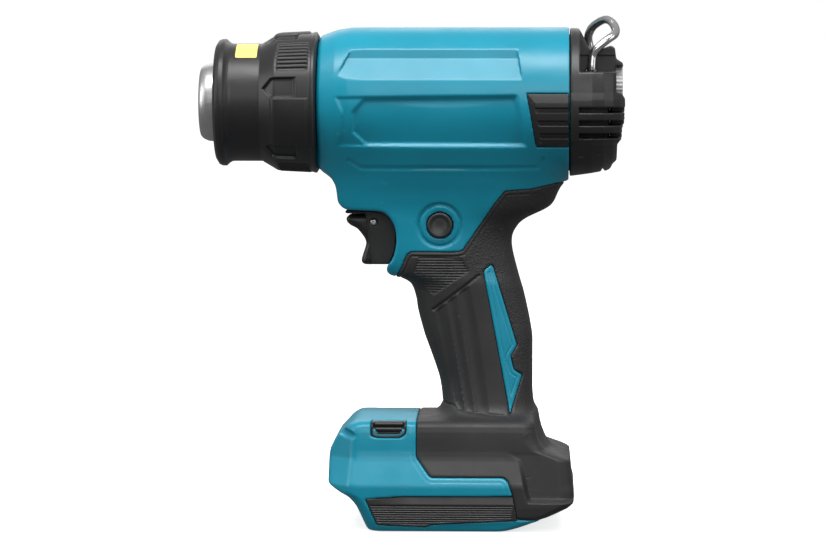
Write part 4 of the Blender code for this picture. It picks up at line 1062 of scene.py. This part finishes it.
def screws():
    """Pan-head tapping screws with a six-lobed drive, seen at the bottom of their holes."""
    head = SCREW_DEPTH
    thread = [(-6.2 + k * 0.46 + step, radius) for k in range(27)
              for step, radius in ((0.0, 1.05), (0.2, 1.48), (0.26, 1.48))]
    profile = [(-7.6, 0.0), (-7.4, 0.4), *thread, (head - 2.2, 1.3), (head - 2.2, 2.9), (head - 0.7, 2.9),
               (head - 0.2, 2.6), (head, 2.1), (head, 1.42), (head - 0.15, 1.3), (head - 1.5, 1.2),
               (head - 1.6, 0.0)]

    def lobes(along, angle, radius):
        drive = (along > head - 1.55) & (radius > 1.1) & (radius < 1.5)
        return np.where(drive, 0.16 * np.cos(6 * angle), 0.0)
    for number, (x, z) in enumerate(SCREW_PLACES, start=1):
        turned(f"screw_{number}", profile, 60, ZINC, along="y", x=x, z=z, offset=lobes,
               slot="steel", replaces=(f"housing_screw_{number}",), sharp=35)


# ---- nodes that stay as they are

KEPT_LOOKS = (
    (MICA, "heater_core"),
    (WIRE, "heating_coil"),
    (CERAMIC, "rear_disc"),
    (STEEL, "temperature_sensor", "motor_shaft", "plunger_spring"),
    (ZINC, "thermal_fuse", "motor_can"),
    (MATT_BLACK, "fan_duct", "impeller", "motor_mount", "switch_body", "terminal_block"),
    (COPPER, "motor_rotor", "contact_blade_left", "contact_blade_right"),
    (BOARD, "potentiometer", "control_module"),
    (GREY, "switch_plunger"),
    (RED_WIRE, "handle_lead_red", "motor_lead"),
    (BLACK_WIRE, "handle_lead_black", "heater_lead"),
)


def finish_kept_nodes():
    """Procedural looks and softened edges for the CAD nodes that stay."""
    for look, *names in KEPT_LOOKS:
        for name in names:
            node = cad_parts[name]
            node.data.materials.clear()
            node.data.materials.append(look)
            if look in (MATT_BLACK, BOARD, COPPER, ZINC):
                bevel = node.modifiers.new("Edge", "BEVEL")
                bevel.width = 0.25 * MM
                bevel.segments = 2
                bevel.limit_method = "ANGLE"
                bevel.angle_limit = math.radians(40)


# ---- stage, lights and camera

CAMERA_TARGET = (-10.56, 0.0, 106.2)
CAMERA_DISTANCE = 1500.0
CAMERA_AZIMUTH, CAMERA_ELEVATION = 2.18, 4.0
WIDTH_SEEN = 355.575      # what the picture's width covers at the target


def camera():
    data = bpy.data.cameras.new("camera")
    data.sensor_width = 36.0
    data.lens = 36.0 * CAMERA_DISTANCE / WIDTH_SEEN
    data.clip_end = 20.0
    turn, rise = math.radians(CAMERA_AZIMUTH), math.radians(CAMERA_ELEVATION)
    back = Vector((math.sin(turn) * math.cos(rise), -math.cos(turn) * math.cos(rise), math.sin(rise)))
    made = added("camera", data)
    made.location = Vector(to_frame(CAMERA_TARGET)) + back * CAMERA_DISTANCE * MM
    made.rotation_mode = "QUATERNION"
    made.rotation_quaternion = (-back).to_track_quat("-Z", "Y")
    bpy.context.scene.camera = made


def softbox(name, spot, size, watts):
    data = bpy.data.lights.new(name, "AREA")
    data.shape = "RECTANGLE"
    data.size, data.size_y = size
    data.energy = watts
    made = added(name, data)
    made.location = spot
    way = Vector((0.0, 0.0, 0.11)) - Vector(spot)
    made.rotation_euler = way.to_track_quat("-Z", "Y").to_euler()


# Each soft light's place and size in metres, and its power in watts.
SOFTBOXES = {
    "top": ((0.0, -0.38, 1.05), (1.2, 0.35), 13.0),
    "key": ((0.25, -1.25, 0.62), (0.9, 0.6), 4.0),
    "left": ((-1.15, -0.35, 0.50), (0.5, 0.8), 3.6),
    "right": ((1.15, -0.40, 0.50), (0.5, 0.8), 1.8),
    "back": ((0.0, 1.15, 0.75), (1.1, 0.6), 2.5),
}
# The surroundings' brightness from straight down to straight up.
SKY = ((0.0, 0.16), (0.47, 0.20), (0.53, 0.27), (1.0, 0.50))


def sky():
    """A studio's surroundings: dim below the horizon and pale above, before a white backdrop."""
    world = bpy.data.worlds.new("studio")
    sky_nodes = Tree(world)
    parts = sky_nodes.add("ShaderNodeSeparateXYZ",
                          Vector=sky_nodes.add("ShaderNodeTexCoord").outputs["Generated"])
    height = sky_nodes.add("ShaderNodeMapRange", Value=parts.outputs["Z"], From_Min=-1.0)
    bands = sky_nodes.add("ShaderNodeValToRGB", Fac=height.outputs["Result"])
    while len(bands.color_ramp.elements) < len(SKY):
        bands.color_ramp.elements.new(0.5)
    for element, (spot, shade) in zip(bands.color_ramp.elements, SKY):
        element.position = spot
        element.color = (shade, shade, shade, 1.0)
    room = world.node_tree.nodes["Background"]
    sky_nodes.put(room.inputs["Color"], bands.outputs["Color"])
    backdrop = sky_nodes.add("ShaderNodeBackground", Color=(1, 1, 1, 1))
    seen = sky_nodes.add("ShaderNodeMixShader",
                         Fac=sky_nodes.add("ShaderNodeLightPath").outputs["Is Camera Ray"])
    sky_nodes.put(seen.inputs[1], room.outputs["Background"])
    sky_nodes.put(seen.inputs[2], backdrop.outputs["Background"])
    sky_nodes.put(world.node_tree.nodes["World Output"].inputs["Surface"], seen.outputs["Shader"])
    bpy.context.scene.world = world


def stage():
    """A pale floor under soft light from above and both sides."""
    look = Nodes("floor", (0.90, 0.90, 0.90), 0.9)
    look.tint(look.noise(60.0, 2.0), (0.90, 0.90, 0.90), 0.01)
    look.shader.inputs["Emission Color"].default_value = (1, 1, 1, 1)
    look.shader.inputs["Emission Strength"].default_value = 0.72
    look.shader.inputs["Specular IOR Level"].default_value = 0.0
    mesh = bpy.data.meshes.new("floor")
    corners = [(x, y, 0.0) for x, y in ((-30, -30), (30, -30), (30, 30), (-30, 30))]
    mesh.from_pydata(corners, [], [(0, 1, 2, 3)])
    mesh.materials.append(look.material)
    floor = added("floor", mesh)
    floor.location.z = -0.0004
    floor.visible_diffuse = False
    floor.visible_glossy = False
    sky()
    for name, box in SOFTBOXES.items():
        softbox(name, *box)
    bpy.context.scene.view_settings.view_transform = "Standard"


for make in (camera, stage, housing, grip, accent, grille, rail_panel, hook_socket, rear_cover,
             hanging_ring, dial, guard, label, nozzle, front_disc, trigger_group, lock_button, screws,
             finish_kept_nodes):
    make()
